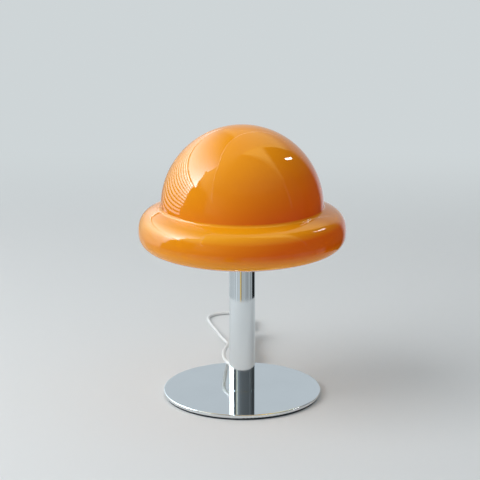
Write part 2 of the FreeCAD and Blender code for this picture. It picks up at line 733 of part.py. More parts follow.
# Lampholder
def make_holder():
    neck_top = f"({HOLDER_BOTTOM} + sizes.holder_neck_height)"
    cavity = "(sizes.insert_radius - sizes.insert_shelf)"
    base = turned("holder_base", [
        (BORE, HOLDER_BOTTOM), ("sizes.holder_neck_radius", HOLDER_BOTTOM),
        ("sizes.holder_neck_radius", neck_top), (HOLDER_RADIUS, CAVITY_BOTTOM),
        (HOLDER_RADIUS, INSERT_BOTTOM), (JOINT_OUTER, INSERT_BOTTOM), (JOINT_OUTER, BASE_TOP),
        (INSERT_SPACE, BASE_TOP), (INSERT_SPACE, INSERT_BOTTOM), (cavity, INSERT_BOTTOM),
        (cavity, CAVITY_BOTTOM), (BORE, CAVITY_BOTTOM)])
    radius = val(HOLDER_RADIUS)
    round_over(base, "sizes.holder_edge_radius", lambda e: is_circle(e, radius, val(CAVITY_BOTTOM)))

    skirt = f"({INSERT_BOTTOM} + sizes.seat_clearance)"
    step = f"({BASE_TOP} + sizes.seat_clearance)"
    under_top = f"({SHELL_TOP} - sizes.shell_top_wall)"
    shell = turned("holder_shell", [
        (SHELL_INNER, skirt), (HOLDER_RADIUS, skirt), (HOLDER_RADIUS, SHELL_TOP), (SHELL_MOUTH, SHELL_TOP),
        (SHELL_MOUTH, under_top), (INSERT_SPACE, under_top), (INSERT_SPACE, step), (SHELL_INNER, step)])
    round_over(shell, "sizes.holder_edge_radius", lambda e: is_circle(e, radius, val(SHELL_TOP)))

    insert = turned("holder_insert", [
        ("0", INSERT_BOTTOM), ("sizes.insert_radius", INSERT_BOTTOM),
        ("sizes.insert_radius", INSERT_TOP), ("0", INSERT_TOP)])
    sketch = sketch_on(insert, "XY_Plane", "insert_passages")
    for sign in (-1, 1):
        round_hole(sketch, "0", f"({sign} * sizes.insert_hole_offset)", "sizes.insert_hole_radius")
    passage = insert.newObject("PartDesign::Pocket", "insert_passage_pocket")
    passage.Profile = sketch
    passage.Type = "ThroughAll"
    passage.Midplane = True
    doc.recompute()

    floor_top = f"({INSERT_TOP} + sizes.thread_shell_wall)"
    floor_hole = "sizes.thread_floor_hole_radius"
    turned("holder_thread", [
        (floor_hole, INSERT_TOP), (THREAD_OUTER, INSERT_TOP), (THREAD_OUTER, THREAD_TOP),
        (THREAD_INNER, THREAD_TOP), (THREAD_INNER, floor_top), (floor_hole, floor_top)])

    contact = doc.addObject("PartDesign::Body", "centre_contact")
    sketch = sketch_on(contact, "XZ_Plane", "contact_profile")
    leaf = "sizes.contact_thickness"
    low = f"({INSERT_TOP} + {leaf})"
    high = f"({INSERT_TOP} + sizes.contact_rise)"
    reach = "sizes.contact_half_length"
    bend = f"({reach} - sizes.contact_foot)"
    top_start = "sizes.contact_top_start"
    top_end = "sizes.contact_top_end"
    offset = "sizes.contact_bend_offset"
    polygon(sketch, [
        (f"-{reach}", INSERT_TOP), (f"-{bend}", INSERT_TOP), (top_start, high), (top_end, high),
        (top_end, f"({high} + {leaf})"), (f"({top_start} - {offset})", f"({high} + {leaf})"),
        (f"(-{bend} - {offset})", low), (f"-{reach}", low)])
    pad = contact.newObject("PartDesign::Pad", "contact_strip")
    pad.Profile = sketch
    pad.setExpression("Length", "sizes.contact_width")
    pad.Midplane = True
    doc.recompute()
    add_node("centre_contact", contact)

    blocks = []
    screws = []
    size = "sizes.terminal_size"
    low = f"({INSERT_BOTTOM} - sizes.terminal_height)"
    for sign in (-1, 1):
        middle = f"{sign} * sizes.terminal_offset"
        block = box("terminal_block", size, size, "sizes.terminal_height",
                    (f"({middle} - {size} / 2)", f"(-1 * {size} / 2)", low))
        face = (f"({middle} + {sign} * {size} / 2)", "0", f"({low} + sizes.terminal_screw_height)")
        outward = ALONG_X * sign
        bore = cylinder("terminal_bore", "sizes.terminal_screw_radius + sizes.thread_clearance",
                        "sizes.terminal_screw_length + sizes.terminal_bore_spare", face, -outward)
        blocks.append(cut("terminal_tapped", block, bore))
        shank = cylinder("terminal_shank", "sizes.terminal_screw_radius", "sizes.terminal_screw_length",
                         face, -outward)
        head = cylinder("terminal_head", "sizes.terminal_screw_head_radius",
                        "sizes.terminal_screw_head_height", face, outward)
        screws.append(fuse("terminal_screw", shank, head))
    group("terminals", *blocks)
    group("terminal_screws", *screws)


# Bulb
def make_bulb():
    turned("bulb_tip", [
        ("0", TIP_BOTTOM), ("sizes.tip_flat_radius", TIP_BOTTOM),
        ("sizes.tip_radius", f"({TIP_BOTTOM} + sizes.tip_round_height)"),
        ("sizes.tip_radius", INSULATOR_BOTTOM), ("0", INSULATOR_BOTTOM)])
    inner = "(sizes.cap_radius - sizes.cap_wall)"
    seated = f"({CAP_BOTTOM} + sizes.insulator_seat)"
    turned("bulb_insulator", [
        ("0", INSULATOR_BOTTOM), ("sizes.tip_radius", INSULATOR_BOTTOM),
        (inner, CAP_BOTTOM), (inner, seated), ("0", seated)])
    turned("bulb_cap", ring_section(inner, "sizes.cap_radius", CAP_BOTTOM, CAP_TOP))

    centre = Vector(0, val(BULB_CENTRE), 0)
    radius = val("sizes.bulb_radius")
    neck = val("sizes.bulb_neck_radius")
    # The sweep leaves the neck upright at the collar and touches the globe, which gives its radius
    collar = f"({CAP_TOP} + sizes.bulb_collar)"
    drop = centre.y - val(collar)
    blend = (neck ** 2 + drop ** 2 - radius ** 2) / (2 * (radius - neck))
    blend_centre = Vector(neck + blend, val(collar), 0)
    touch = heading(centre, blend_centre)
    body = doc.addObject("PartDesign::Body", "bulb_solid")
    sketch = sketch_on(body, "XZ_Plane", "bulb_outline")
    globe = sketch.addGeometry(arc(centre, radius, touch, 90))
    sweep = sketch.addGeometry(arc(blend_centre, blend, touch + 180, 180))
    bottom = val(GLASS_BOTTOM)
    wall = sketch.addGeometry(Part.LineSegment(Vector(neck, blend_centre.y, 0), Vector(neck, bottom, 0)))
    floor = sketch.addGeometry(Part.LineSegment(Vector(neck, bottom, 0), Vector(0, bottom, 0)))
    spine = sketch.addGeometry(Part.LineSegment(Vector(0, bottom, 0), Vector(0, centre.y + radius, 0)))
    joins = ((wall, 2, floor, 1), (floor, 2, spine, 1), (spine, 2, globe, 2))
    for first, first_end, second, second_end in joins:
        sketch.addConstraint(Sketcher.Constraint("Coincident", first, first_end, second, second_end))
    sweep_top, sweep_bottom = (1, 2) if touch + 180 < 180 else (2, 1)
    sketch.addConstraint(Sketcher.Constraint("Tangent", globe, 1, sweep, sweep_top))
    sketch.addConstraint(Sketcher.Constraint("Tangent", sweep, sweep_bottom, wall, 1))
    sketch.addConstraint(Sketcher.Constraint("Vertical", wall))
    pin_point(sketch, globe, 3, "0", BULB_CENTRE)
    pin_point(sketch, floor, 1, "sizes.bulb_neck_radius", GLASS_BOTTOM)
    pin_point(sketch, floor, 2, "0", GLASS_BOTTOM)
    sketch.addConstraint(Sketcher.Constraint("PointOnObject", globe, 2, -2))
    bind(sketch, Sketcher.Constraint("Radius", globe, radius), "sizes.bulb_radius")
    bind(sketch, Sketcher.Constraint("DistanceY", -1, 1, sweep, 3, val(collar)), collar)
    turn = body.newObject("PartDesign::Revolution", "bulb_turned")
    turn.Profile = sketch
    turn.ReferenceAxis = (sketch, ["V_Axis"])
    turn.Angle = 360
    doc.recompute()
    blown("bulb_glass", body, "sizes.bulb_wall", "sizes.bulb_neck_radius - sizes.bulb_wall", GLASS_BOTTOM)

    bore = "(sizes.bulb_neck_radius - sizes.bulb_wall - sizes.seat_clearance)"
    flare = f"({GLASS_BOTTOM} + sizes.mount_flare)"
    narrow = f"({GLASS_BOTTOM} + sizes.mount_waist)"
    low = f"({GLASS_BOTTOM} + sizes.mount_low)"
    thick = "sizes.mount_disc_thickness"
    high = f"({low} + {thick} + sizes.filament_length + sizes.seat_clearance * 2)"
    post = "sizes.mount_post_radius"
    disc = "sizes.mount_disc_radius"
    turned("bulb_mount", [
        ("0", GLASS_BOTTOM), (bore, GLASS_BOTTOM), (bore, flare), (post, narrow),
        (post, low), (disc, low), (disc, f"({low} + {thick})"), (post, f"({low} + {thick})"),
        (post, high), (disc, high), (disc, f"({high} + {thick})"), ("0", f"({high} + {thick})")])
    sticks = []
    base = f"({low} + {thick} + sizes.seat_clearance)"
    for angle in (45, 135, 225, 315):
        foot = (f"(sizes.filament_circle * cos({angle}))", f"(sizes.filament_circle * sin({angle}))", base)
        sticks.append(cylinder("filament_stick", "sizes.filament_radius", "sizes.filament_length", foot))
    group("bulb_filaments", *sticks)


# Cords: straight runs joined by tangent arcs
def route_wire(points, radii):
    """Lines through the points with an arc of the given radius at each inner point."""
    edges = []
    here = points[0]
    for before, corner, after, radius in zip(points, points[1:], points[2:], radii):
        into = (corner - before).normalize()
        out = (after - corner).normalize()
        turn = into.getAngle(out)
        reach = radius * math.tan(turn / 2)
        start = corner - into * reach
        end = corner + out * reach
        bisector = (out - into).normalize()
        middle = corner + bisector * (radius / math.cos(turn / 2) - radius)
        edges.append(Part.LineSegment(here, start).toShape())
        edges.append(Part.Arc(start, middle, end).toShape())
        here = end
    edges.append(Part.LineSegment(here, points[-1]).toShape())
    return Part.Wire(edges)


def free_radii(points):
    """The largest fair arc at each inner point: 0.45 of the shorter run over tan(half turn)."""
    radii = []
    for before, corner, after in zip(points, points[1:], points[2:]):
        into = corner - before
        out = after - corner
        shorter = min(into.Length, out.Length)
        radii.append(0.45 * shorter / math.tan(into.getAngle(out) / 2))
    return radii


def tube_along(label, wire, radius):
    """A round solid swept along a wire; its volume is set against section times length."""
    first = wire.OrderedEdges[0]
    start = first.valueAt(first.FirstParameter)
    direction = first.tangentAt(first.FirstParameter)
    circle = Part.Wire(Part.Circle(start, direction, radius).toShape())
    solid = wire.makePipeShell([circle], True, False)
    expected = math.pi * radius ** 2 * wire.Length
    print(f"{label}: length {wire.Length:.1f}, volume {solid.Volume / expected:.4f} of section times length")
    return feature(label, solid)


def cord_stretch(label, points):
    radii = free_radii(points)
    print(label, "radii", [round(r, 1) for r in radii], "runs",
          [round((b - a).Length, 1) for a, b in zip(points, points[1:])])
    return tube_along(label, route_wire(points, radii), val("sizes.cord_radius"))


def make_inner_lead():
    """The lead from the bush up the tube and through the nipple, then its two cores."""
    outward = cord_direction()
    level = val(CORD_LEVEL)
    bend = val("sizes.lead_bend_radius")
    lean = val("sizes.lead_lean_radius")
    start = outward * val("sizes.bush_inner_reach")
    start.z = level
    corner = start - outward * (bend + val("sizes.lead_straight"))
    lean_low = Vector(corner.x, corner.y, level + bend + val("sizes.lead_rise"))
    lean_top = Vector(0, 0, val(f"{BOSS_UNDER} - sizes.nipple_below - sizes.lead_below_nipple"))
    end = Vector(0, 0, val(f"{CAVITY_BOTTOM} + sizes.core_radius"))
    points = [start, corner, lean_low, lean_top, end]
    tube_along("inner_lead", route_wire(points, [bend, lean, lean]), val("sizes.cord_radius"))

    cores = []
    radius = val("sizes.core_radius")
    bend = val("sizes.core_bend_radius")
    high = val(f"{INSERT_BOTTOM} - sizes.terminal_height")
    third = (high - end.z) / 3
    for sign in (-1, 1):
        near = sign * val("sizes.core_radius + sizes.core_gap / 2")
        far = sign * val("sizes.terminal_offset")
        path = [Vector(near, 0, end.z), Vector(near, 0, end.z + third),
                Vector(far, 0, high - third), Vector(far, 0, high)]
        wire = route_wire(path, [bend, bend])
        circle = Part.Wire(Part.Circle(path[0], UP, radius).toShape())
        cores.append(wire.makePipeShell([circle], True, False))
    feature("lead_cores", Part.makeCompound(cores))


def make_bush():
    """Strain relief: a neck through the tube's wall, a collar that fits the tube and a tapered tail.

    It is made along +X about its own bore, then turned to the cord hole's direction.
    """
    inside = "sizes.bush_inner_reach"
    collar_end = "(sizes.stem_radius + sizes.bush_collar_thickness)"
    through = f"({collar_end} - {inside})"
    tail_length = "(sizes.bush_tail_length - sizes.bush_collar_thickness)"
    start = (inside, "0", "0")
    tube_room = cylinder("bush_tube_room", "sizes.stem_radius + sizes.seat_clearance",
                         "sizes.stem_radius * 2", ("0", "0", "(-1 * sizes.stem_radius)"))
    block = cylinder("bush_block", "sizes.bush_collar_radius", through, start, ALONG_X)
    collar = cut("bush_collar", block, tube_room)
    neck = cylinder("bush_neck", "sizes.bush_neck_radius", through, start, ALONG_X)
    tail = cone("bush_tail", "sizes.bush_tail_root_radius", "sizes.bush_tail_tip_radius", tail_length,
                (collar_end, "0", "0"), ALONG_X)
    body = fuse("bush_body", collar, neck, tail)
    bore = cylinder("bush_bore", CORD_BORE, f"{through} + {tail_length}", start, ALONG_X)
    bush = cut("bush_bored", body, bore)
    place(bush, ("0", "0", CORD_LEVEL))
    bush.Placement.Rotation = Rotation(UP, val("sizes.cord_hole_angle"))
    doc.recompute()
    add_node("cord_bush", bush)
    return cord_direction() * val("sizes.stem_radius + sizes.bush_tail_length") + UP * val(CORD_LEVEL)


# In-line rocker switch, made about its own centre and then set down; at rest in its off position
SWITCH_X = 7.0
SWITCH_Y = 315.0
SWITCH_HALF = "(sizes.switch_height / 2)"
SWITCH_END = "(sizes.switch_length / 2)"
PIVOT_LEVEL = f"({SWITCH_HALF} - sizes.pivot_below_top)"
ROCKER_SIDE = "(sizes.rocker_width / 2)"
EAR_SIDE = f"({ROCKER_SIDE} + sizes.rocker_gap)"
SWITCH_PLACE = (str(SWITCH_X), str(SWITCH_Y), SWITCH_HALF)


def switch_node(label, thing):
    """Sets a finished piece of the switch down in its place behind the lamp."""
    place(thing, SWITCH_PLACE)
    doc.recompute()
    return add_node(label, thing)


def switch_tray(label, sign):
    """One half of the case, a tray with its floor away from the joint at half height."""
    body = doc.addObject("PartDesign::Body", label)
    plan = sketch_on(body, "XY_Plane", label + "_plan")
    rounded_rectangle(plan, "(sizes.switch_width / 2)", f"(-1 * {SWITCH_END})", SWITCH_END,
                      "sizes.switch_corner_radius")
    pad = body.newObject("PartDesign::Pad", label + "_block")
    pad.Profile = plan
    pad.setExpression("Length", SWITCH_HALF)
    pad.Reversed = sign < 0
    doc.recompute()
    far = sign * val(SWITCH_HALF)
    round_over(body, "sizes.switch_edge_radius",
               lambda e: abs(e.BoundBox.ZMin - far) < 1e-4 and abs(e.BoundBox.ZMax - far) < 1e-4)
    solid = body.Tip
    joint = [f"Face{i}" for i, face in enumerate(solid.Shape.Faces, start=1)
             if abs(face.BoundBox.ZMin) < 1e-4 and abs(face.BoundBox.ZMax) < 1e-4]
    shell = body.newObject("PartDesign::Thickness", label + "_shell")
    shell.Base = (solid, joint)
    shell.setExpression("Value", "sizes.switch_wall")
    shell.Reversed = True
    doc.recompute()
    return body


def make_switch_case():
    """The two halves with their noses, screw posts and ears, and the two screws."""
    wall = "sizes.switch_wall"
    clear = "sizes.seat_clearance"
    noses = []
    for sign in (-1, 1):
        noses.append(cone(
            "switch_nose", "sizes.switch_nose_radius + sizes.switch_nose_taper", "sizes.switch_nose_radius",
            f"sizes.switch_nose_length + {wall}", ("0", f"({sign} * ({SWITCH_END} - {wall}))", "0"),
            ALONG_Y * sign))
    nose_pair = fuse("switch_noses", *noses)
    halves = {}
    for name, low in (("below", f"(-1 * {SWITCH_HALF})"), ("above", "0")):
        room = box(f"room_{name}", "sizes.switch_width", "sizes.switch_length * 2", SWITCH_HALF,
                   ("(-1 * sizes.switch_width / 2)", "(-1 * sizes.switch_length)", low))
        halves[name] = common(f"noses_{name}", nose_pair, room)

    screw_x = f"(sizes.switch_width / 2 - {wall} - sizes.case_screw_head_radius)"
    post = "(sizes.case_screw_head_radius + sizes.post_wall)"
    lower_posts = []
    upper_posts = []
    lower_holes = []
    upper_holes = []
    screws = []
    for sign in (-1, 1):
        x = f"({sign} * {screw_x})"
        y = f"({-sign} * sizes.case_screw_offset)"
        bottom = (x, y, f"(-1 * {SWITCH_HALF})")
        joint = (x, y, "0")
        head = "sizes.case_screw_head_radius"
        rise = "sizes.case_screw_head_height"
        shank = "sizes.case_screw_radius"
        length = f"{SWITCH_HALF} + sizes.case_screw_bite"
        lower_posts.append(cylinder("lower_post", post, SWITCH_HALF, bottom))
        upper_posts.append(cylinder("upper_post", post, f"{SWITCH_HALF} - {wall} / 2", joint))
        lower_holes.append(cylinder("screw_sink", f"{head} + {clear}", rise, bottom))
        lower_holes.append(cylinder("screw_passage", f"{shank} + {clear}", SWITCH_HALF, bottom))
        upper_holes.append(cylinder("screw_thread", f"{shank} + {clear}",
                                    f"sizes.case_screw_bite + {clear}", joint))
        screws.append(fuse("case_screw", cylinder("case_screw_head", head, rise, bottom),
                           cylinder("case_screw_shank", shank, length, bottom)))

    ears = []
    for side in (f"(-1 * ({EAR_SIDE} + sizes.ear_thickness))", EAR_SIDE):
        corner = (side, "(-1 * sizes.ear_radius)", PIVOT_LEVEL)
        ears.append(box("ear_cheek", "sizes.ear_thickness", "sizes.ear_radius * 2",
                        f"sizes.pivot_below_top - {wall} / 2", corner))
        ears.append(cylinder("ear_lobe", "sizes.ear_radius", "sizes.ear_thickness",
                             (side, "0", PIVOT_LEVEL), ALONG_X))
    window_y = "(sizes.rocker_radius + sizes.rocker_gap)"
    window = box("rocker_window", f"2 * {EAR_SIDE}", f"2 * {window_y}", f"{wall} * 2",
                 (f"(-1 * {EAR_SIDE})", f"(-1 * {window_y})", f"({SWITCH_HALF} - {wall} * 2)"))
    pin_length = f"2 * ({EAR_SIDE} + sizes.ear_thickness)"
    pin_start = (f"(-1 * ({EAR_SIDE} + sizes.ear_thickness))", "0", PIVOT_LEVEL)
    pin_hole = cylinder("pin_hole", f"sizes.pivot_radius + {clear}", pin_length, pin_start, ALONG_X)
    cord_bore = cylinder("switch_cord_bore", CORD_BORE, "sizes.switch_length * 2",
                         ("0", "(-1 * sizes.switch_length)", "0"), ALONG_Y)

    lower = fuse("lower_solid", switch_tray("lower_tray", -1), halves["below"], *lower_posts)
    lower_tools = fuse("lower_tools", cord_bore, *lower_holes)
    switch_node("switch_case_lower", cut("lower_cut", lower, lower_tools))
    upper = fuse("upper_solid", switch_tray("upper_tray", 1), halves["above"], *upper_posts, *ears)
    upper_tools = fuse("upper_tools", cord_bore, window, pin_hole, *upper_holes)
    switch_node("switch_case_upper", cut("upper_cut", upper, upper_tools))
    rod = cylinder("rocker_pin_rod", "sizes.pivot_radius", pin_length, pin_start, ALONG_X)
    place(group("switch_screws", *screws), SWITCH_PLACE)
    place(group("rocker_pin", rod), SWITCH_PLACE)
    doc.recompute()


def make_rocker():
    """Rocker, the bridge on its keel, and two studs that the bridge just reaches when it is over."""
    body = doc.addObject("PartDesign::Body", "rocker_block")
    profile = sketch_on(body, "YZ_Plane", "rocker_profile")
    end = "sizes.rocker_radius"
    rise = "sizes.rocker_end_rise"
    hip = "(-1 * sizes.rocker_hip_drop)"
    keel = "(-1 * sizes.rocker_keel)"
    near = "(-1 * sizes.keel_near)"
    polygon(profile, [
        (f"(-1 * {end})", rise), (f"(-1 * {end})", hip), (near, hip), (near, keel),
        ("sizes.keel_far", keel), ("sizes.keel_far", hip), (end, hip), (end, rise),
        ("0", "sizes.rocker_dip_rise")])
    pad = body.newObject("PartDesign::Pad", "rocker_width_pad")
    pad.Profile = profile
    pad.setExpression("Length", "sizes.rocker_width")
    pad.Midplane = True
    doc.recompute()
    start = (f"(-1 * {ROCKER_SIDE})", "0", "0")
    drum = cylinder("rocker_drum", "sizes.rocker_radius", "sizes.rocker_width", start, ALONG_X)
    hole = cylinder("rocker_hole", "sizes.pivot_radius + sizes.pivot_clearance",
                    "sizes.rocker_width", start, ALONG_X)
    rocker = cut("rocker_bored", common("rocker_round", body, drum), hole)
    bridge_side = f"({ROCKER_SIDE} - sizes.bridge_inset)"
    under = "(sizes.rocker_keel + sizes.bridge_thickness)"
    bridge = box("bridge_strip", f"2 * {bridge_side}", "sizes.bridge_reach", "sizes.bridge_thickness",
                 (f"(-1 * {bridge_side})", "0", f"(-1 * {under})"))
    contact_bridge = group("switch_bridge", bridge)
    pivot = (str(SWITCH_X), str(SWITCH_Y), f"({SWITCH_HALF} + {PIVOT_LEVEL})")
    add_node("switch_rocker", rocker)
    for thing in (rocker, contact_bridge):
        place(thing, pivot)
        thing.Placement.Rotation = Rotation(ALONG_X, val("sizes.rocker_tilt"))
    doc.recompute()

    tilt = "sizes.rocker_tilt"
    radius = "sizes.stud_radius"
    floor = f"(sizes.switch_wall - {SWITCH_HALF})"
    reached = f"(sizes.bridge_reach * cos({tilt}) - sizes.rocker_keel * sin({tilt}))"
    lowest = f"({PIVOT_LEVEL} - sizes.bridge_reach * sin({tilt}) - {under} * cos({tilt}))"
    studs = []
    for sign in (-1, 1):
        foot = (f"({sign} * ({bridge_side} - {radius}))", f"({reached} - {radius})", floor)
        studs.append(cylinder("contact_stud", radius, f"{lowest} - sizes.stud_clearance - {floor}", foot))
    place(group("switch_contacts", *studs), SWITCH_PLACE)
    doc.recompute()


def make_switch():
    make_switch_case()
    make_rocker()
    gripped = val(f"{SWITCH_END} + sizes.switch_nose_length - sizes.switch_cord_grip")
    here = Vector(SWITCH_X, SWITCH_Y, val(SWITCH_HALF))
    return here + ALONG_Y * gripped, here - ALONG_Y * gripped


# The hank: one unbroken lead, folded back and forth and drawn in by its tie
HANK_X = 0.9
HANK_Y = 191.0
HANK_LAYERS = 4
HANK_REACH = "(sizes.hank_half_length - sizes.fold_radius)"
WAIST_RADIUS = (f"((sizes.waist_half_width^2 - sizes.fold_radius^2 + {HANK_REACH}^2)"
                " / (2 * (sizes.fold_radius - sizes.waist_half_width)))")
STACK = f"({LAYER_STEP} * {HANK_LAYERS - 1} + 2 * sizes.cord_radius)"


def biarc(start, leaving, end, arriving):
    """Two tangent arcs from start to end with the given unit directions."""
    chord = end - start
    total = leaving + arriving
    spread = 2 * (1 - leaving.dot(arriving))
    slope = chord.dot(total)
    if spread < 1e-9:
        reach = chord.dot(chord) / (4 * chord.dot(arriving))
    else:
        reach = (-slope + math.sqrt(slope ** 2 + spread * chord.dot(chord))) / spread
    joint = (start + leaving * reach + end - arriving * reach) * 0.5
    return [arc_from(start, leaving, joint), arc_into(joint, end, arriving)]


def arc_from(start, leaving, end):
    """The arc that leaves start in a direction and ends at end."""
    chord = end - start
    angle = leaving.getAngle(chord)
    if angle < 1e-7:
        return Part.LineSegment(start, end).toShape()
    side = (chord - leaving * chord.dot(leaving)).normalize()
    radius = chord.Length / (2 * math.sin(angle))
    centre = start + side * radius
    middle = centre + (((start + end) * 0.5) - centre).normalize() * radius
    return Part.Arc(start, middle, end).toShape()


def arc_into(start, end, arriving):
    """The arc that ends at end in a direction and starts at start."""
    mirrored = arc_from(end, -arriving, start)
    middle = mirrored.valueAt((mirrored.FirstParameter + mirrored.LastParameter) / 2)
    if isinstance(mirrored.Curve, Part.Line):
        return Part.LineSegment(start, end).toShape()
    return Part.Arc(start, middle, end).toShape()


def hank_path():
    """Edges of the hank's centre line, from the switch side to the plug side.

    Each loop is two runs and two folds. A run's two waist arcs draw it in to the waist, and
    each fold is two quarter arcs. The left run of each loop climbs one layer.
    """
    fold = val("sizes.fold_radius")
    waist = val("sizes.waist_half_width")
    half = val("sizes.hank_half_length")
    step = val(LAYER_STEP)
    radius = val("sizes.cord_radius")
    origin = Vector(HANK_X, HANK_Y, val("sizes.tie_thickness + sizes.tie_clearance + sizes.cord_radius"))
    reach = half - fold
    waist_radius = val(WAIST_RADIUS)
    fold_centre = Vector(0, reach, 0)
    inward = (Vector(waist + waist_radius, 0, 0) - fold_centre).normalize()
    junction = fold_centre + inward * fold
    along = Vector(-inward.y, inward.x, 0)

    def at(x, y, level):
        return origin + Vector(x, y, level)

    def place(side, end, level):
        """Where a run meets a fold: side is +1 right, end is +1 far."""
        return at(side * junction.x, end * junction.y, level)

    def run_direction(side, end, sign):
        """Direction of travel along Y of sign at that junction."""
        lean = Vector(side * along.x, end * along.y, 0)
        if lean.y * sign < 0:
            lean = -lean
        return lean

    edges = []
    level = 0.0
    ahead = Vector(0, -1, 0)
    start = at(SWITCH_X - HANK_X, junction.y + val("sizes.hank_lead_in"), level)
    straight_end = start + ahead * (2 * radius)
    edges.append(Part.LineSegment(start, straight_end).toShape())
    edges += biarc(straight_end, ahead, at(waist, 0, level), ahead)
    for layer in range(HANK_LAYERS):
        if layer:
            edges += biarc(place(1, 1, level), run_direction(1, 1, -1), at(waist, 0, level), ahead)
        near_right = place(1, -1, level)
        near_left = place(-1, -1, level)
        tip = at(0, -half, level)
        edges += biarc(at(waist, 0, level), ahead, near_right, run_direction(1, -1, -1))
        edges.append(arc_into(near_right, tip, Vector(-1, 0, 0)))
        edges.append(arc_from(tip, Vector(-1, 0, 0), near_left))
        leaving = run_direction(-1, -1, 1)
        if layer == HANK_LAYERS - 1:
            end = near_left + leaving * (2 * radius)
            edges.append(Part.LineSegment(near_left, end).toShape())
            return edges, start, end, leaving
        climb = Vector(0, 1, step / junction.y).normalize()
        middle = at(-waist, 0, level + step / 2)
        edges += biarc(near_left, leaving, middle, climb)
        level += step
        far_left = place(-1, 1, level)
        far_right = place(1, 1, level)
        edges += biarc(middle, climb, far_left, run_direction(-1, 1, 1))
        tip = at(0, half, level)
        edges.append(arc_into(far_left, tip, Vector(1, 0, 0)))
        edges.append(arc_from(tip, Vector(1, 0, 0), far_right))
    return edges, start, end, leaving


def least_gap(edges, radius):
    """The least distance between the tube's surfaces, measured on points far apart along it."""
    points = []
    travelled = 0.0
    spacing = 2.0
    for edge in edges:
        count = max(2, int(edge.Length / spacing))
        for k in range(count):
            parameter = edge.getParameterByLength(edge.Length * k / count)
            points.append((travelled + edge.Length * k / count, edge.valueAt(parameter)))
        travelled += edge.Length
    apart = 12 * radius
    best = math.inf
    for index, (here, point) in enumerate(points):
        for there, other in points[index + 1:]:
            if there - here > apart:
                best = min(best, point.distanceToPoint(other))
    return best - 2 * radius


def make_hank():
    radius = val("sizes.cord_radius")
    edges, start, end, leaving = hank_path()
    wire = Part.Wire(edges)
    print(f"cord_hank: least gap to itself {least_gap(edges, radius):.2f}")
    tube_along("cord_hank", wire, radius)

    # Tie: a flat band round the waist, which bulges by a little over the band's width
    bulge = f"((sizes.tie_width / 2)^2 / (2 * {WAIST_RADIUS}))"
    side = f"(sizes.waist_half_width + sizes.cord_radius + sizes.tie_clearance + {bulge})"
    thick = "sizes.tie_thickness"
    corner = "(sizes.cord_radius + sizes.tie_clearance)"
    top = f"({thick} + {STACK} + 2 * sizes.tie_clearance)"
    tie = doc.addObject("PartDesign::Body", "hank_tie_band")
    section = sketch_on(tie, "XZ_Plane", "tie_section")
    rounded_rectangle(section, f"({side} + {thick})", "0", f"({top} + {thick})", f"({corner} + {thick})")
    rounded_rectangle(section, side, thick, top, corner)
    pad = tie.newObject("PartDesign::Pad", "tie_width_pad")
    pad.Profile = section
    pad.setExpression("Length", "sizes.tie_width")
    pad.Midplane = True
    place(tie, (str(HANK_X), str(HANK_Y), "0"))
    doc.recompute()
    add_node("hank_tie", tie)
    return start, end, leaving


# Flat two-pin plug, lying on the hank; made about the middle of its face, with its pins along +Y
PLUG_TIP_Y = 276.0
PLUG_HALF = "(sizes.plug_thickness / 2)"
PLUG_PLACE = (str(HANK_X), f"({PLUG_TIP_Y} - sizes.pin_length)",
              f"(sizes.tie_thickness + 2 * sizes.tie_clearance + {STACK} + {PLUG_HALF})")


def plug_section(body, name, back, half_width, half_thickness, corner):
    """A rounded rectangle that lies back from the plug's face."""
    sketch = sketch_on(body, "XZ_Plane", name)
    sketch.setExpression(".AttachmentOffset.Base.z", back)
    rounded_rectangle(sketch, half_width, f"(-1 * {half_thickness})", half_thickness, corner)
    return sketch


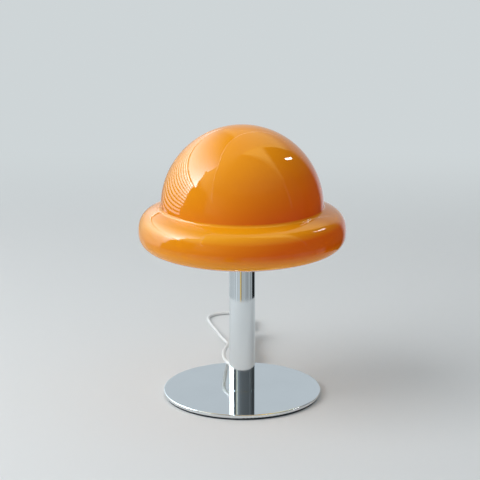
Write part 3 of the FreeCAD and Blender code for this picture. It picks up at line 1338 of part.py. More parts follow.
def make_plug():
    grip = doc.addObject("PartDesign::Body", "plug_grip")
    edge = "sizes.plug_edge_radius"
    wide = "(sizes.plug_width / 2)"
    face = plug_section(grip, "plug_face", "0", wide, PLUG_HALF, edge)
    front = plug_section(grip, "plug_front", "sizes.plug_front_length", wide, PLUG_HALF, edge)
    waist = plug_section(grip, "plug_waist", "sizes.plug_grip_length", "(sizes.plug_grip_width / 2)",
                         PLUG_HALF, edge)
    rear = plug_section(grip, "plug_rear", "sizes.plug_body_length", "(sizes.plug_rear_width / 2)",
                        "(sizes.plug_rear_thickness / 2)", "sizes.plug_rear_edge_radius")
    loft = grip.newObject("PartDesign::AdditiveLoft", "plug_loft")
    loft.Profile = face
    loft.Sections = [front, waist, rear]
    doc.recompute()
    tail = cone("plug_tail", "sizes.plug_tail_root_radius", "sizes.plug_tail_tip_radius",
                "sizes.plug_tail_length", ("0", "(-1 * sizes.plug_body_length)", "0"), -ALONG_Y)
    solid = fuse("plug_solid", grip, tail)

    sockets = []
    pins = []
    sleeves = []
    core = "sizes.pin_core_radius"
    seat = "sizes.pin_seat"
    cover = "sizes.sleeve_length"
    for sign in (-1, 1):
        x = f"({sign} * sizes.pin_spacing / 2)"
        root = (x, f"(-1 * {seat})", "0")
        outside = (x, "0", "0")
        sockets.append(cylinder("pin_socket", PIN_BORE, seat, root, ALONG_Y))
        stem = cylinder("pin_stem", core, f"{seat} + {cover}", root, ALONG_Y)
        bare = cylinder("pin_bare", "sizes.pin_radius", f"sizes.pin_length - {cover}",
                        (x, cover, "0"), ALONG_Y)
        doc.recompute()
        nose = doc.addObject("Part::Fillet", "pin_nose")
        nose.Base = bare
        tip = val("sizes.pin_length")
        radius = val("sizes.pin_nose_radius")
        nose.Edges = [(index, radius, radius) for index, rim in enumerate(bare.Shape.Edges, start=1)
                      if abs(rim.BoundBox.YMin - tip) < 1e-4]
        pins.append(fuse("pin", nose, stem))
        sleeve = cylinder("sleeve_blank", SLEEVE_RADIUS, cover, outside, ALONG_Y)
        hole = cylinder("sleeve_hole", PIN_BORE, cover, outside, ALONG_Y)
        sleeves.append(cut("sleeve", sleeve, hole))
    plug = cut("plug_bored", solid, fuse("pin_sockets", *sockets))
    place(plug, PLUG_PLACE)
    add_node("plug_body", plug)
    place(group("plug_pins", *pins), PLUG_PLACE)
    place(group("plug_sleeves", *sleeves), PLUG_PLACE)
    doc.recompute()
    here = Vector(*[val(expression) for expression in PLUG_PLACE])
    return here - ALONG_Y * val("sizes.plug_body_length + sizes.plug_tail_length")


# Free stretches: the points are chosen by hand, apart from their ends
def make_cords(bush_tip, switch_entry, switch_leave, hank_start, hank_end, hank_leaving, plug_tail):
    outward = cord_direction()
    on_floor = val("sizes.cord_radius")
    cord_stretch("cord_lamp_stretch", [
        bush_tip,
        bush_tip + outward * 18,
        Vector(-28.6, 77, 34.6),
        Vector(-26.4, 112, 30.0),
        Vector(-22.6, 150, 22.6),
        Vector(-21.4, 189, 14.0),
        Vector(-30.2, 232, 6.4),
        Vector(-39.8, 282, on_floor),
        Vector(-51.0, 322, on_floor),
        Vector(-58.1, 356.4, on_floor),
        Vector(-52.2, 373.6, on_floor),
        Vector(-38.0, 384.9, on_floor),
        Vector(-19.9, 386.9, on_floor + 0.8),
        Vector(-2.8, 379.4, on_floor + 3.2),
        Vector(switch_entry.x, switch_entry.y + 17.9, switch_entry.z),
        switch_entry,
    ])
    cord_stretch("cord_hank_stretch", [
        switch_leave,
        switch_leave - Vector(0, 9.4, 0),
        hank_start + Vector(0, 9.4, 0),
        hank_start,
    ])
    cord_stretch("cord_plug_stretch", [
        hank_end,
        hank_end + hank_leaving * 18.5,
        Vector(plug_tail.x, plug_tail.y - 22, plug_tail.z),
        plug_tail,
    ])


make_base()
make_stem()
make_carrier()
make_shade()
make_holder()
make_bulb()
bush_tip = make_bush()
make_inner_lead()
switch_entry, switch_leave = make_switch()
hank_start, hank_end, hank_leaving = make_hank()
plug_tail = make_plug()
make_cords(bush_tip, switch_entry, switch_leave, hank_start, hank_end, hank_leaving, plug_tail)

doc.recompute()
for thing in doc.Objects:
    if "Invalid" in thing.State or "Error" in thing.State:
        raise RuntimeError(f"{thing.Label} failed: {thing.State}")
for label, thing in nodes.items():
    if thing.Shape.isNull() or not thing.Shape.isValid() or not thing.Shape.Solids:
        raise RuntimeError(f"{label} has no valid solid")

os.makedirs("parts", exist_ok=True)
for label, thing in nodes.items():
    thing.Shape.exportStep(f"parts/{label}.step")
    print(label, len(thing.Shape.Solids), round(thing.Shape.Volume, 1))
print(len(nodes), "nodes")
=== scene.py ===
import math

import bpy
import numpy as np
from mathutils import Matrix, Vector


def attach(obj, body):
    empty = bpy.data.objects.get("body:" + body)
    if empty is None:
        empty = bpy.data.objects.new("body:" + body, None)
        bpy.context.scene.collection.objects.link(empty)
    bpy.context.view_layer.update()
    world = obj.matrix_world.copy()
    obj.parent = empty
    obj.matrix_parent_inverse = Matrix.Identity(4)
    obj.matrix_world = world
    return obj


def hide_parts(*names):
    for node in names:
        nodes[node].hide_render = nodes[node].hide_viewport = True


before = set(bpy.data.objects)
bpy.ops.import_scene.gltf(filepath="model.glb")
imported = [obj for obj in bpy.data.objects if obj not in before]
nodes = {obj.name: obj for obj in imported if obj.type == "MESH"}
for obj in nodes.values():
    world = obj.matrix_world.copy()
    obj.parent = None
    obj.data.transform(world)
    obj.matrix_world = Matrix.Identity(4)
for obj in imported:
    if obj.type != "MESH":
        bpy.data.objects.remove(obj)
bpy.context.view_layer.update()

MM = 0.001

# Levels and radii of the glass, in millimetres from the floor under the lamp
SEAT_LEVEL = 214.6
BRIM_LEVEL = 249.6
DOME_LEVEL = 284.8
DOME_RADIUS = 117.4
CREASE_RADIUS = 5.0
BRIM_RADIUS = 150.0
BRIM_TOP_RADIUS = 111.6
BRIM_SHOULDER_RADIUS = 24.3
BRIM_SIDE_RADIUS = 46.0
BRIM_UNDER_SHOULDER_RADIUS = 21.0
BRIM_UNDER_RADIUS = 142.0
GLASS_WALL = 3.0
MOUTH_RADIUS = 60.0
MOUTH_POLISH = 1.0

# Where one arc of the brim hands over to the next, in degrees above or below the level
SIDE_UP = 14.7
SHOULDER_UP = 67.1
SIDE_DOWN = 9.0

# Points along each arc of the glass, and round it
DOME_POINTS = 56
CREASE_POINTS = 14
BRIM_TOP_POINTS = 20
SHOULDER_POINTS = 16
SIDE_POINTS = 12
UNDER_POINTS = 16
MOUTH_POINTS = 5
TURN_STEPS = 240


# Surfaces worked out as arrays
def mesh_object(name, points, faces):
    """A smooth object from an array of points in millimetres and a list of faces."""
    mesh = bpy.data.meshes.new(name)
    mesh.from_pydata((np.asarray(points) * MM).tolist(), [], faces)
    mesh.polygons.foreach_set("use_smooth", [True] * len(mesh.polygons))
    mesh.update()
    made = bpy.data.objects.new(name, mesh)
    bpy.context.scene.collection.objects.link(made)
    return made


def turned(name, profile):
    """Profile points (r, z) turned about the upright axis.

    Point (i, j) is (r_i cos a_j, r_i sin a_j, z_i) with a_j in even steps of a full turn.
    The first and last profile points lie on the axis and close the surface with fans.
    """
    ring = profile[1:-1]
    angles = np.linspace(0.0, 2.0 * np.pi, TURN_STEPS, endpoint=False)
    grid = np.empty((len(ring), TURN_STEPS, 3))
    grid[..., 0] = ring[:, 0:1] * np.cos(angles)
    grid[..., 1] = ring[:, 0:1] * np.sin(angles)
    grid[..., 2] = ring[:, 1:2]
    poles = np.array([[0.0, 0.0, profile[0, 1]], [0.0, 0.0, profile[-1, 1]]])
    points = np.vstack([grid.reshape(-1, 3), poles])
    index = np.arange(len(ring) * TURN_STEPS).reshape(len(ring), TURN_STEPS)
    across = np.roll(index, -1, axis=1)
    quads = np.stack([index[:-1], index[1:], across[1:], across[:-1]], axis=-1).reshape(-1, 4)
    first = np.full(TURN_STEPS, len(points) - 2)
    last = np.full(TURN_STEPS, len(points) - 1)
    top = np.stack([first, index[0], across[0]], axis=-1)
    bottom = np.stack([last, across[-1], index[-1]], axis=-1)
    return mesh_object(name, points, quads.tolist() + top.tolist() + bottom.tolist())


def polar(centre, radius, degrees):
    """The point at an angle on a circle about centre."""
    angle = np.radians(degrees)
    return np.stack([centre[0] + radius * np.cos(angle), centre[1] + radius * np.sin(angle)], axis=-1)


def arc(centre, radius, start, end, count):
    """Points on a circle about centre, in even steps from one angle to another, in degrees."""
    return polar(centre, radius, np.linspace(start, end, count))


def heading(centre, point):
    """The angle in degrees from centre to point."""
    return math.degrees(math.atan2(point[1] - centre[1], point[0] - centre[0]))


def touching_circle(centre_a, reach_a, centre_b, reach_b):
    """The outer one of the two points at the given reaches from two centres."""
    across = centre_b - centre_a
    distance = np.hypot(*across)
    along = (reach_a**2 - reach_b**2 + distance**2) / (2 * distance)
    side = math.sqrt(reach_a**2 - along**2)
    unit = across / distance
    normal = np.array([unit[1], -unit[0]])
    return centre_a + unit * along + normal * side


def shade_profile():
    """The section of the shade's wall, outside from the top down to the mouth, then inside back up.

    The outside is a chain of tangent arcs: dome, crease, brim top, shoulder, side, lower
    shoulder and underside. The inside has the same centres, with each radius a wall less,
    and a wall more at the crease. Half rounds finish the mouth.
    """
    side = np.array([BRIM_RADIUS - BRIM_SIDE_RADIUS, BRIM_LEVEL])
    shoulder = polar(side, BRIM_SIDE_RADIUS - BRIM_SHOULDER_RADIUS, SIDE_UP)
    top = polar(shoulder, BRIM_SHOULDER_RADIUS - BRIM_TOP_RADIUS, SHOULDER_UP)
    dome = np.array([0.0, DOME_LEVEL])
    crease = touching_circle(top, BRIM_TOP_RADIUS + CREASE_RADIUS, dome, DOME_RADIUS + CREASE_RADIUS)
    dome_end = heading(dome, crease)
    crease_start = heading(crease, dome) % 360
    crease_end = heading(crease, top) % 360
    top_start = heading(top, crease)
    lower = polar(side, BRIM_SIDE_RADIUS - BRIM_UNDER_SHOULDER_RADIUS, -SIDE_DOWN)
    sine = (SEAT_LEVEL + BRIM_UNDER_RADIUS - lower[1]) / (BRIM_UNDER_RADIUS - BRIM_UNDER_SHOULDER_RADIUS)
    under_down = math.degrees(math.asin(sine))
    under = polar(lower, BRIM_UNDER_SHOULDER_RADIUS - BRIM_UNDER_RADIUS, -under_down)

    def skin(inset):
        return np.vstack([
            arc(dome, DOME_RADIUS - inset, 90, dome_end, DOME_POINTS),
            arc(crease, CREASE_RADIUS + inset, crease_start, crease_end, CREASE_POINTS)[1:],
            arc(top, BRIM_TOP_RADIUS - inset, top_start, SHOULDER_UP, BRIM_TOP_POINTS)[1:],
            arc(shoulder, BRIM_SHOULDER_RADIUS - inset, SHOULDER_UP, SIDE_UP, SHOULDER_POINTS)[1:],
            arc(side, BRIM_SIDE_RADIUS - inset, SIDE_UP, -SIDE_DOWN, SIDE_POINTS)[1:],
            arc(lower, BRIM_UNDER_SHOULDER_RADIUS - inset, -SIDE_DOWN, -under_down, UNDER_POINTS)[1:],
            arc(under, BRIM_UNDER_RADIUS - inset, -under_down, -90, UNDER_POINTS)[1:],
        ])

    lip_low = np.array([MOUTH_RADIUS + MOUTH_POLISH, SEAT_LEVEL + MOUTH_POLISH])
    lip_high = np.array([MOUTH_RADIUS + MOUTH_POLISH, SEAT_LEVEL + GLASS_WALL - MOUTH_POLISH])
    return np.vstack([
        skin(0.0),
        arc(lip_low, MOUTH_POLISH, 270, 180, MOUTH_POINTS),
        arc(lip_high, MOUTH_POLISH, 180, 90, MOUTH_POINTS),
        skin(GLASS_WALL)[::-1],
    ])


# Materials
BLACK = (0.0, 0.0, 0.0, 1.0)
WHITE = (1.0, 1.0, 1.0, 1.0)


class Value:
    """A value in a material: a + b, a - b, a * b and a / b write their Math nodes."""

    def __init__(self, tree, socket):
        self.tree = tree
        self.socket = socket

    def output(self, name):
        """Another output of the node that this value comes from."""
        return Value(self.tree, self.socket.node.outputs[name])

    def __add__(self, other):
        return self.tree.maths("ADD", self, other)

    def __radd__(self, other):
        return self.tree.maths("ADD", other, self)

    def __sub__(self, other):
        return self.tree.maths("SUBTRACT", self, other)

    def __rsub__(self, other):
        return self.tree.maths("SUBTRACT", other, self)

    def __mul__(self, other):
        return self.tree.maths("MULTIPLY", self, other)

    def __rmul__(self, other):
        return self.tree.maths("MULTIPLY", other, self)

    def __truediv__(self, other):
        return self.tree.maths("DIVIDE", self, other)

    def __rtruediv__(self, other):
        return self.tree.maths("DIVIDE", other, self)


class Tree:
    """The nodes of a material or of the world, written by method calls."""

    def __init__(self, owner):
        owner.use_nodes = True
        self.owner = owner
        self.data = owner.node_tree
        self.data.nodes.clear()

    def feed(self, socket, value):
        if isinstance(value, Value):
            self.data.links.new(value.socket, socket)
        else:
            socket.default_value = value

    def node(self, kind, settings=None, inputs=None, output=0):
        """A node of that kind: its settings first, then the values or links of its inputs."""
        made = self.data.nodes.new(kind)
        settings = dict(settings or {})
        stops = settings.pop("stops", [])
        for name, setting in settings.items():
            setattr(made, name, setting)
        if stops:
            while len(made.color_ramp.elements) < len(stops):
                made.color_ramp.elements.new(0.5)
            for element, (position, colour) in zip(made.color_ramp.elements, stops):
                element.position = position
                element.color = colour
        for key, value in (inputs or {}).items():
            self.feed(made.inputs[key], value)
        return Value(self, made.outputs[output]) if len(made.outputs) else None

    def maths(self, operation, *terms):
        return self.node("ShaderNodeMath", {"operation": operation}, dict(enumerate(terms)))

    def where(self, output="Object"):
        return self.node("ShaderNodeTexCoord", output=output)

    def split(self, vector):
        """The x of a vector, whose outputs Y and Z are the rest of it."""
        return self.node("ShaderNodeSeparateXYZ", inputs={0: vector})

    def noise(self, scale, detail=3.0, roughness=0.5, vector=None):
        inputs = {"Vector": vector or self.where(), "Scale": scale, "Detail": detail, "Roughness": roughness}
        return self.node("ShaderNodeTexNoise", inputs=inputs)

    def stretched(self, scale):
        return self.node("ShaderNodeMapping", inputs={"Vector": self.where(), "Scale": scale})

    def between(self, value, low, high, start, end, kind="LINEAR"):
        """The value's way from low to high, as a number from start to end."""
        inputs = {"Value": value, "From Min": low, "From Max": high, "To Min": start, "To Max": end}
        return self.node("ShaderNodeMapRange", {"interpolation_type": kind}, inputs)

    def step(self, value, low, high):
        """0 below low, 1 above high, and soft between."""
        return self.between(value, low, high, 0.0, 1.0, "SMOOTHSTEP")

    def band(self, value, low, high, edge):
        """1 between low and high, 0 outside, with soft edges."""
        fall = self.between(value, high - edge, high + edge, 1.0, 0.0, "SMOOTHSTEP")
        return self.step(value, low - edge, low + edge) * fall

    def graded(self, value, stops):
        """A number between 0 and 1 read off a line through (value, number) stops."""
        low = stops[0][0]
        span = stops[-1][0] - low
        greys = [((at - low) / span, (number, number, number, 1.0)) for at, number in stops]
        return self.node("ShaderNodeValToRGB", {"stops": greys}, {0: (value - low) / span})

    def mixed(self, factor, first, second):
        return self.node("ShaderNodeMix", {"data_type": "RGBA"}, {0: factor, 6: first, 7: second}, output=2)

    def bump(self, height, distance, strength):
        inputs = {"Height": height, "Distance": distance, "Strength": strength}
        return self.node("ShaderNodeBump", inputs=inputs)

    def lit(self, kind, colour, strength):
        """A surface or sky that gives off its own light."""
        return self.node(kind, inputs={"Color": colour, "Strength": strength})

    def either(self, factor, first, second):
        """The first shader where the factor is 0, the second where it is 1."""
        return self.node("ShaderNodeMixShader", inputs={0: factor, 1: first, 2: second})


class Finish(Tree):
    """A material with one Principled surface."""

    def __init__(self, name, **inputs):
        super().__init__(bpy.data.materials.new(name))
        surface = self.node("ShaderNodeBsdfPrincipled")
        self.sockets = surface.socket.node.inputs
        self.node("ShaderNodeOutputMaterial", inputs={"Surface": surface})
        self.set(**inputs)

    def set(self, **inputs):
        for name, value in inputs.items():
            self.feed(self.sockets[name.replace("_", " ").title().replace("Ior", "IOR")], value)


# Where most of a noise's values lie, and its middle
NOISE_REACH = (0.3, 0.7)
NOISE_MIDDLE = (0.35, 0.65)


def shaded(finish, dark, light, scale):
    """A colour that drifts between two tones in soft patches."""
    return finish.mixed(finish.between(finish.noise(scale), *NOISE_MIDDLE, 0.0, 1.0), dark, light)


def uneven(finish, pattern, roughness, spread):
    """A roughness that a pattern changes between two shares of it."""
    return finish.between(pattern, *NOISE_REACH, roughness * spread[0], roughness * spread[1])


# Painted light and shade on the glass: its orange where shade falls, where light falls, and where it faces
# the lit table or the sky
SHADED_ORANGE = (0.78, 0.11, 0.0015, 1.0)
LIT_AMBER = (0.78, 0.33, 0.004, 1.0)
BRIGHTLY_LIT_AMBER = (0.98, 0.36, 0.006, 1.0)

# Painted light and shade: how far the glass leans from deep orange where shade falls, 0, to amber where
# light falls, 1, at each height in metres, how much more for each metre to the left, where the light
# comes from, and how far that drifts
GLASS_LIGHT_AND_SHADE_BY_LEVEL = [
    (0.210, 0.44), (0.228, 0.46), (0.250, 0.19), (0.264, 0.36), (0.276, 1.00), (0.283, 1.00),
    (0.287, 0.26), (0.300, 0.30), (0.330, 0.45), (0.370, 0.62), (0.403, 0.70),
]
GLASS_LIGHT_TO_THE_LEFT = 4.0
GLASS_DRIFT = 0.12
GLASS_DRIFT_SCALE = 9.0

# Painted light: how far the glass is lifted, at each height, towards a brighter amber where it faces the
# lit table below or the sky above
GLASS_PAINTED_LIGHT_BY_LEVEL = [
    (0.210, 1.00), (0.230, 0.95), (0.238, 0.45), (0.246, 0.05), (0.264, 0.05), (0.276, 0.50),
    (0.283, 0.55), (0.287, 0.00), (0.340, 0.10), (0.370, 0.45), (0.403, 0.90),
]

# The waviness of blown glass
GLASS_WAVE_SCALE = 22.0
GLASS_WAVE_HEIGHT = 0.0004
GLASS_WAVE_STRENGTH = 0.3


def orange_glass(name):
    """Blown glass: orange with painted light and shade by height and side, a slow drift and a faint
    waviness.
    """
    glass = Finish(name, ior=1.47, roughness=0.02)
    right = glass.split(glass.where())
    level = right.output("Z")
    drift = glass.noise(GLASS_DRIFT_SCALE, detail=2.0) * GLASS_DRIFT - GLASS_DRIFT / 2
    # Painted light and shade: amber where light falls at each height and towards the left, deep orange in
    # shade to the right
    lean = glass.graded(level, GLASS_LIGHT_AND_SHADE_BY_LEVEL) - right * GLASS_LIGHT_TO_THE_LEFT + drift
    tone = glass.mixed(glass.between(lean, 0.0, 1.0, 0.0, 1.0), SHADED_ORANGE, LIT_AMBER)
    # Painted light: a brighter amber at the heights that face the lit table or the sky, and along the crease
    tone = glass.mixed(glass.graded(level, GLASS_PAINTED_LIGHT_BY_LEVEL), tone, BRIGHTLY_LIT_AMBER)
    waves = glass.bump(glass.noise(GLASS_WAVE_SCALE), GLASS_WAVE_HEIGHT, GLASS_WAVE_STRENGTH)
    glass.set(base_color=tone, normal=waves)
    return glass.owner


STEEL_WIPE_SCALE = 60.0
STEEL_WIPE_STRETCH = (1.0, 1.0, 0.15)
STEEL_WIPE_REACH = (0.3, 0.8)
STEEL_ROUGHNESS = (0.035, 0.085)
STEEL_PATCH_SCALE = 14.0
STEEL_DARK = (0.76, 0.80, 0.82, 1.0)
STEEL_LIGHT = (0.7828, 0.824, 0.8446, 1.0)


def polished_steel(name):
    """Polished metal with fine upright wiping marks that change its roughness a little."""
    steel = Finish(name, metallic=1.0)
    upright = steel.stretched(STEEL_WIPE_STRETCH)
    marks = steel.noise(STEEL_WIPE_SCALE, detail=4.0, roughness=0.6, vector=upright)
    steel.set(base_color=shaded(steel, STEEL_DARK, STEEL_LIGHT, STEEL_PATCH_SCALE))
    steel.set(roughness=steel.between(marks, *STEEL_WIPE_REACH, *STEEL_ROUGHNESS))
    return steel.owner


METAL_GRAIN_STRENGTH = 0.3
METAL_PATCH_SCALE = 120.0
METAL_ROUGHNESS_SPREAD = (0.8, 1.25)
PLASTIC_GRAIN_STRENGTH = 0.4
PLASTIC_PATCH_SCALE = 60.0
PLASTIC_ROUGHNESS_SPREAD = (0.85, 1.15)
CLEAR_PATCH_SCALE = 80.0


def plain_metal(name, dark, light, roughness, grain=900.0, height=0.00005):
    """Machined metal: two close tones, fine grain in roughness and height."""
    metal = Finish(name, metallic=1.0)
    fine = metal.noise(grain, detail=2.0)
    metal.set(base_color=shaded(metal, dark, light, METAL_PATCH_SCALE))
    metal.set(roughness=uneven(metal, fine, roughness, METAL_ROUGHNESS_SPREAD))
    metal.set(normal=metal.bump(fine, height, METAL_GRAIN_STRENGTH))
    return metal.owner


def moulded(name, dark, light, roughness, grain=700.0, height=0.00006):
    """Moulded plastic or rubber: close tones, a fine spark-eroded grain."""
    plastic = Finish(name)
    fine = plastic.noise(grain, roughness=0.6)
    plastic.set(base_color=shaded(plastic, dark, light, PLASTIC_PATCH_SCALE))
    plastic.set(roughness=uneven(plastic, fine, roughness, PLASTIC_ROUGHNESS_SPREAD))
    plastic.set(normal=plastic.bump(fine, height, PLASTIC_GRAIN_STRENGTH))
    return plastic.owner


def clear_glass(name, tint):
    """Thin clear glass whose tint comes and goes."""
    glass = Finish(name, roughness=0.02, ior=1.5, transmission_weight=1.0)
    glass.set(base_color=shaded(glass, tint, WHITE, CLEAR_PATCH_SCALE))
    return glass.owner


finishes = {name: make(name, *looks) for make, name, *looks in [
    (orange_glass, "orange_glass"),
    (polished_steel, "polished_steel"),
    (plain_metal, "screw_steel", (0.50, 0.51, 0.52, 1.0), (0.60, 0.61, 0.62, 1.0), 0.32),
    (plain_metal, "plug_steel", (0.50, 0.51, 0.52, 1.0), (0.58, 0.59, 0.60, 1.0), 0.38),
    (plain_metal, "brass", (0.72, 0.50, 0.20, 1.0), (0.80, 0.60, 0.28, 1.0), 0.28),
    (plain_metal, "nickel", (0.66, 0.63, 0.58, 1.0), (0.74, 0.71, 0.66, 1.0), 0.22),
    (plain_metal, "tin", (0.60, 0.60, 0.60, 1.0), (0.70, 0.70, 0.70, 1.0), 0.35),
    (plain_metal, "bulb_aluminium", (0.72, 0.73, 0.74, 1.0), (0.80, 0.81, 0.82, 1.0), 0.3),
    (moulded, "pad", (0.010, 0.014, 0.020, 1.0), (0.024, 0.030, 0.040, 1.0), 0.85, 1400.0, 0.0003),
    (moulded, "white_lacquer", (0.78, 0.78, 0.76, 1.0), (0.84, 0.84, 0.82, 1.0), 0.25),
    (moulded, "soft_ring", (0.55, 0.55, 0.53, 1.0), (0.62, 0.62, 0.60, 1.0), 0.6),
    (moulded, "white_plastic", (0.74, 0.74, 0.73, 1.0), (0.80, 0.80, 0.79, 1.0), 0.32),
    (moulded, "sleeve_plastic", (0.70, 0.70, 0.69, 1.0), (0.76, 0.76, 0.75, 1.0), 0.4),
    (moulded, "porcelain", (0.80, 0.79, 0.75, 1.0), (0.86, 0.85, 0.82, 1.0), 0.3, 300.0),
    (moulded, "black_ceramic", (0.015, 0.014, 0.018, 1.0), (0.03, 0.03, 0.035, 1.0), 0.2),
    (moulded, "white_cord", (0.76, 0.77, 0.77, 1.0), (0.82, 0.83, 0.83, 1.0), 0.38, 500.0, 0.00003),
    (moulded, "core_sleeve", (0.10, 0.06, 0.03, 1.0), (0.14, 0.08, 0.04, 1.0), 0.4),
    (moulded, "bulb_glass", (0.86, 0.86, 0.84, 1.0), (0.9, 0.9, 0.88, 1.0), 0.18, 300.0),
    (clear_glass, "inner_glass", (0.9, 0.94, 0.92, 1.0)),
    (moulded, "filament", (0.85, 0.62, 0.12, 1.0), (0.9, 0.7, 0.18, 1.0), 0.5),
]}

for name, node in nodes.items():
    for slot in node.material_slots:
        known = slot.material.name.split(".")[0] if slot.material else ""
        if known in finishes:
            slot.material = finishes[known]

shade = turned("shade_glass", shade_profile())
shade.data.materials.append(finishes["orange_glass"])
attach(shade, "shade")
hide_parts("shade")


# Cords, in millimetres
CORD_DIAMETER = 5.4
OUTWARD = np.array([-0.45399, 0.89101, 0.0])
STRAIGHT_OUT = 18.0
BUSH_TIP = np.array([-17.7, 34.75, 32.5])
SWITCH_ENTRY = (7.0, 346.0, 8.0)
SWITCH_LEAVE = (7.0, 284.0, 8.0)
LAMP_ROUTE = np.vstack([
    BUSH_TIP, BUSH_TIP + OUTWARD * STRAIGHT_OUT,
    (-28.6, 77.0, 34.6), (-26.4, 112.0, 30.0), (-22.6, 150.0, 22.6),
    (-21.4, 189.0, 14.0), (-30.2, 232.0, 6.4), (-39.8, 282.0, 2.7), (-51.0, 322.0, 2.7), (-58.1, 356.4, 2.7),
    (-52.2, 373.6, 2.7), (-38.0, 384.9, 2.7), (-19.9, 386.9, 3.5), (-2.8, 379.4, 5.9), (7.0, 363.9, 8.0),
    SWITCH_ENTRY,
])
HANK_CENTRE = np.array([0.9, 191.0, 4.0])
HANK_LAYERS = 4
LAYER_STEP = 6.0
FOLD_RADIUS = 17.1
FOLD_REACH = 54.0
FOLD_ANGLE = 36.0
WAIST = 10.0
RUN_REACH = 26.0


def hank_route():
    """Points of the folded cord, 16 to a turn: two folds of five and two runs of three.

    Fold point k stands on a circle at 36 k degrees from the fold's tip. A run's points stand at
    x = waist + (fold - waist) (y / reach)^2 from the middle, so both runs draw in to the waist.
    The near fold and the right run are level, and the left run climbs one layer.
    """
    turn = np.radians(np.arange(-2, 3) * FOLD_ANGLE)
    fold = np.stack([np.sin(turn) * FOLD_RADIUS, FOLD_REACH + np.cos(turn) * FOLD_RADIUS], axis=-1)
    run_y = np.array([RUN_REACH, 0.0, -RUN_REACH])
    run_x = WAIST + (FOLD_RADIUS - WAIST) * (run_y / FOLD_REACH) ** 2
    right = np.stack([run_x, run_y, np.zeros(3)], axis=-1)
    near = np.hstack([fold[::-1] * (1, -1), np.zeros((5, 1))])
    climb = np.array([0.25, 0.5, 0.75]) * LAYER_STEP
    left = np.stack([-run_x, -run_y, climb], axis=-1)
    far = np.hstack([fold, np.full((5, 1), LAYER_STEP)])
    turns = []
    for layer in range(HANK_LAYERS):
        last = layer == HANK_LAYERS - 1
        turn_points = np.vstack([right, near] if last else [right, near, left, far])
        turns.append(turn_points + HANK_CENTRE + (0.0, 0.0, layer * LAYER_STEP))
    return np.vstack(turns)


PLUG_TAIL = (0.9, 203.0, 31.85)
PLUG_ROUTE = np.vstack([
    SWITCH_LEAVE, (7.0, 274.6, 8.0), (7.0, 262.6, 4.0), (7.0, 247.0, 4.0),
    hank_route(),
    (-13.2, 148.0, 22.0), (-9.5, 164.0, 22.0), (0.9, 181.0, 31.85), PLUG_TAIL,
])


def lead(name, route):
    """A round lead whose centre line is one smooth NURBS with the route as its control points."""
    data = bpy.data.curves.new(name, "CURVE")
    data.dimensions = "3D"
    data.bevel_depth = CORD_DIAMETER / 2 * MM
    data.bevel_resolution = 5
    data.resolution_u = 10
    data.use_fill_caps = True
    spline = data.splines.new("NURBS")
    spline.points.add(len(route) - 1)
    weighted = np.hstack([route * MM, np.ones((len(route), 1))])
    spline.points.foreach_set("co", weighted.ravel())
    spline.order_u = 3
    spline.use_endpoint_u = True
    data.materials.append(finishes["white_cord"])
    made = bpy.data.objects.new(name, data)
    bpy.context.scene.collection.objects.link(made)
    return made


lamp_lead = lead("lead_to_switch", LAMP_ROUTE)
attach(lamp_lead, "lamp")
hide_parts("cord_lamp_stretch")

plug_lead = lead("lead_to_plug", PLUG_ROUTE)
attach(plug_lead, "lamp")
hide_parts("cord_hank_stretch", "cord_hank", "cord_plug_stretch")


# Floor, surroundings, light and camera
def azimuth_of(x, y):
    """The direction in degrees, 0 towards the camera and 90 to its right."""
    return x.tree.maths("ARCTAN2", x, y * -1.0) * math.degrees(1.0)


# The window wall is a flat plane that mirrors see from the lamp. A place on it is given by its slope
# to the right of the plane's nearest point and its slope upwards. A direction that is less ahead than
# the first of WINDOW_AHEAD misses it.
WINDOW_TURN = math.radians(-115.0)
WINDOW_AHEAD = (0.12, 0.18)


def on_window_plane(x, y, z):
    """Whether a direction meets the window plane, and its place there: slope across and slope up."""
    tree = x.tree
    ahead = x * math.sin(WINDOW_TURN) - y * math.cos(WINDOW_TURN)
    clear = tree.maths("MAXIMUM", ahead, WINDOW_AHEAD[0])
    across = (x * math.cos(WINDOW_TURN) + y * math.sin(WINDOW_TURN)) / clear
    return tree.between(ahead, *WINDOW_AHEAD, 0.0, 1.0), across, z / clear


# The blind in the lower half of the window, whose glow grows to the right and upwards
SLAT_PITCH = 0.06
SLAT_START = -0.1405
SLAT_LIGHT = 9.0
SLAT_GLOW_ACROSS = 1.3
SLAT_GLOW_UP = 2.3
SLAT_GLOW_LESS = 0.90
SLAT_GLOW_LEFT_END = -0.85
SLAT_EDGE = 0.9
SLAT_FACE_LEVELS = (0.0, 0.4)
SLAT_FACE_LIGHT = (0.03, 0.20)


def slatted(across, up):
    """The light of the blind: an exponential glow, cut up by a cosine wave of slats."""
    tree = across.tree
    level = tree.maths("MAXIMUM", across, SLAT_GLOW_LEFT_END)
    glow = tree.maths("EXPONENT", level * SLAT_GLOW_ACROSS + up * SLAT_GLOW_UP - SLAT_GLOW_LESS)
    wave = tree.maths("COSINE", (up - SLAT_START) * (2 * math.pi / SLAT_PITCH))
    face = tree.between(up, *SLAT_FACE_LEVELS, *SLAT_FACE_LIGHT)
    gap = tree.between(wave, -SLAT_EDGE, SLAT_EDGE, 1.0, 0.0, "SMOOTHSTEP")
    return glow * (face + (1.0 - face) * gap)


FLOOR_TONE = (0.74, 0.76, 0.765, 1.0)
WALL_TONE = (0.62, 0.665, 0.68, 1.0)
FLOOR_HALF_WIDTH = 9000.0

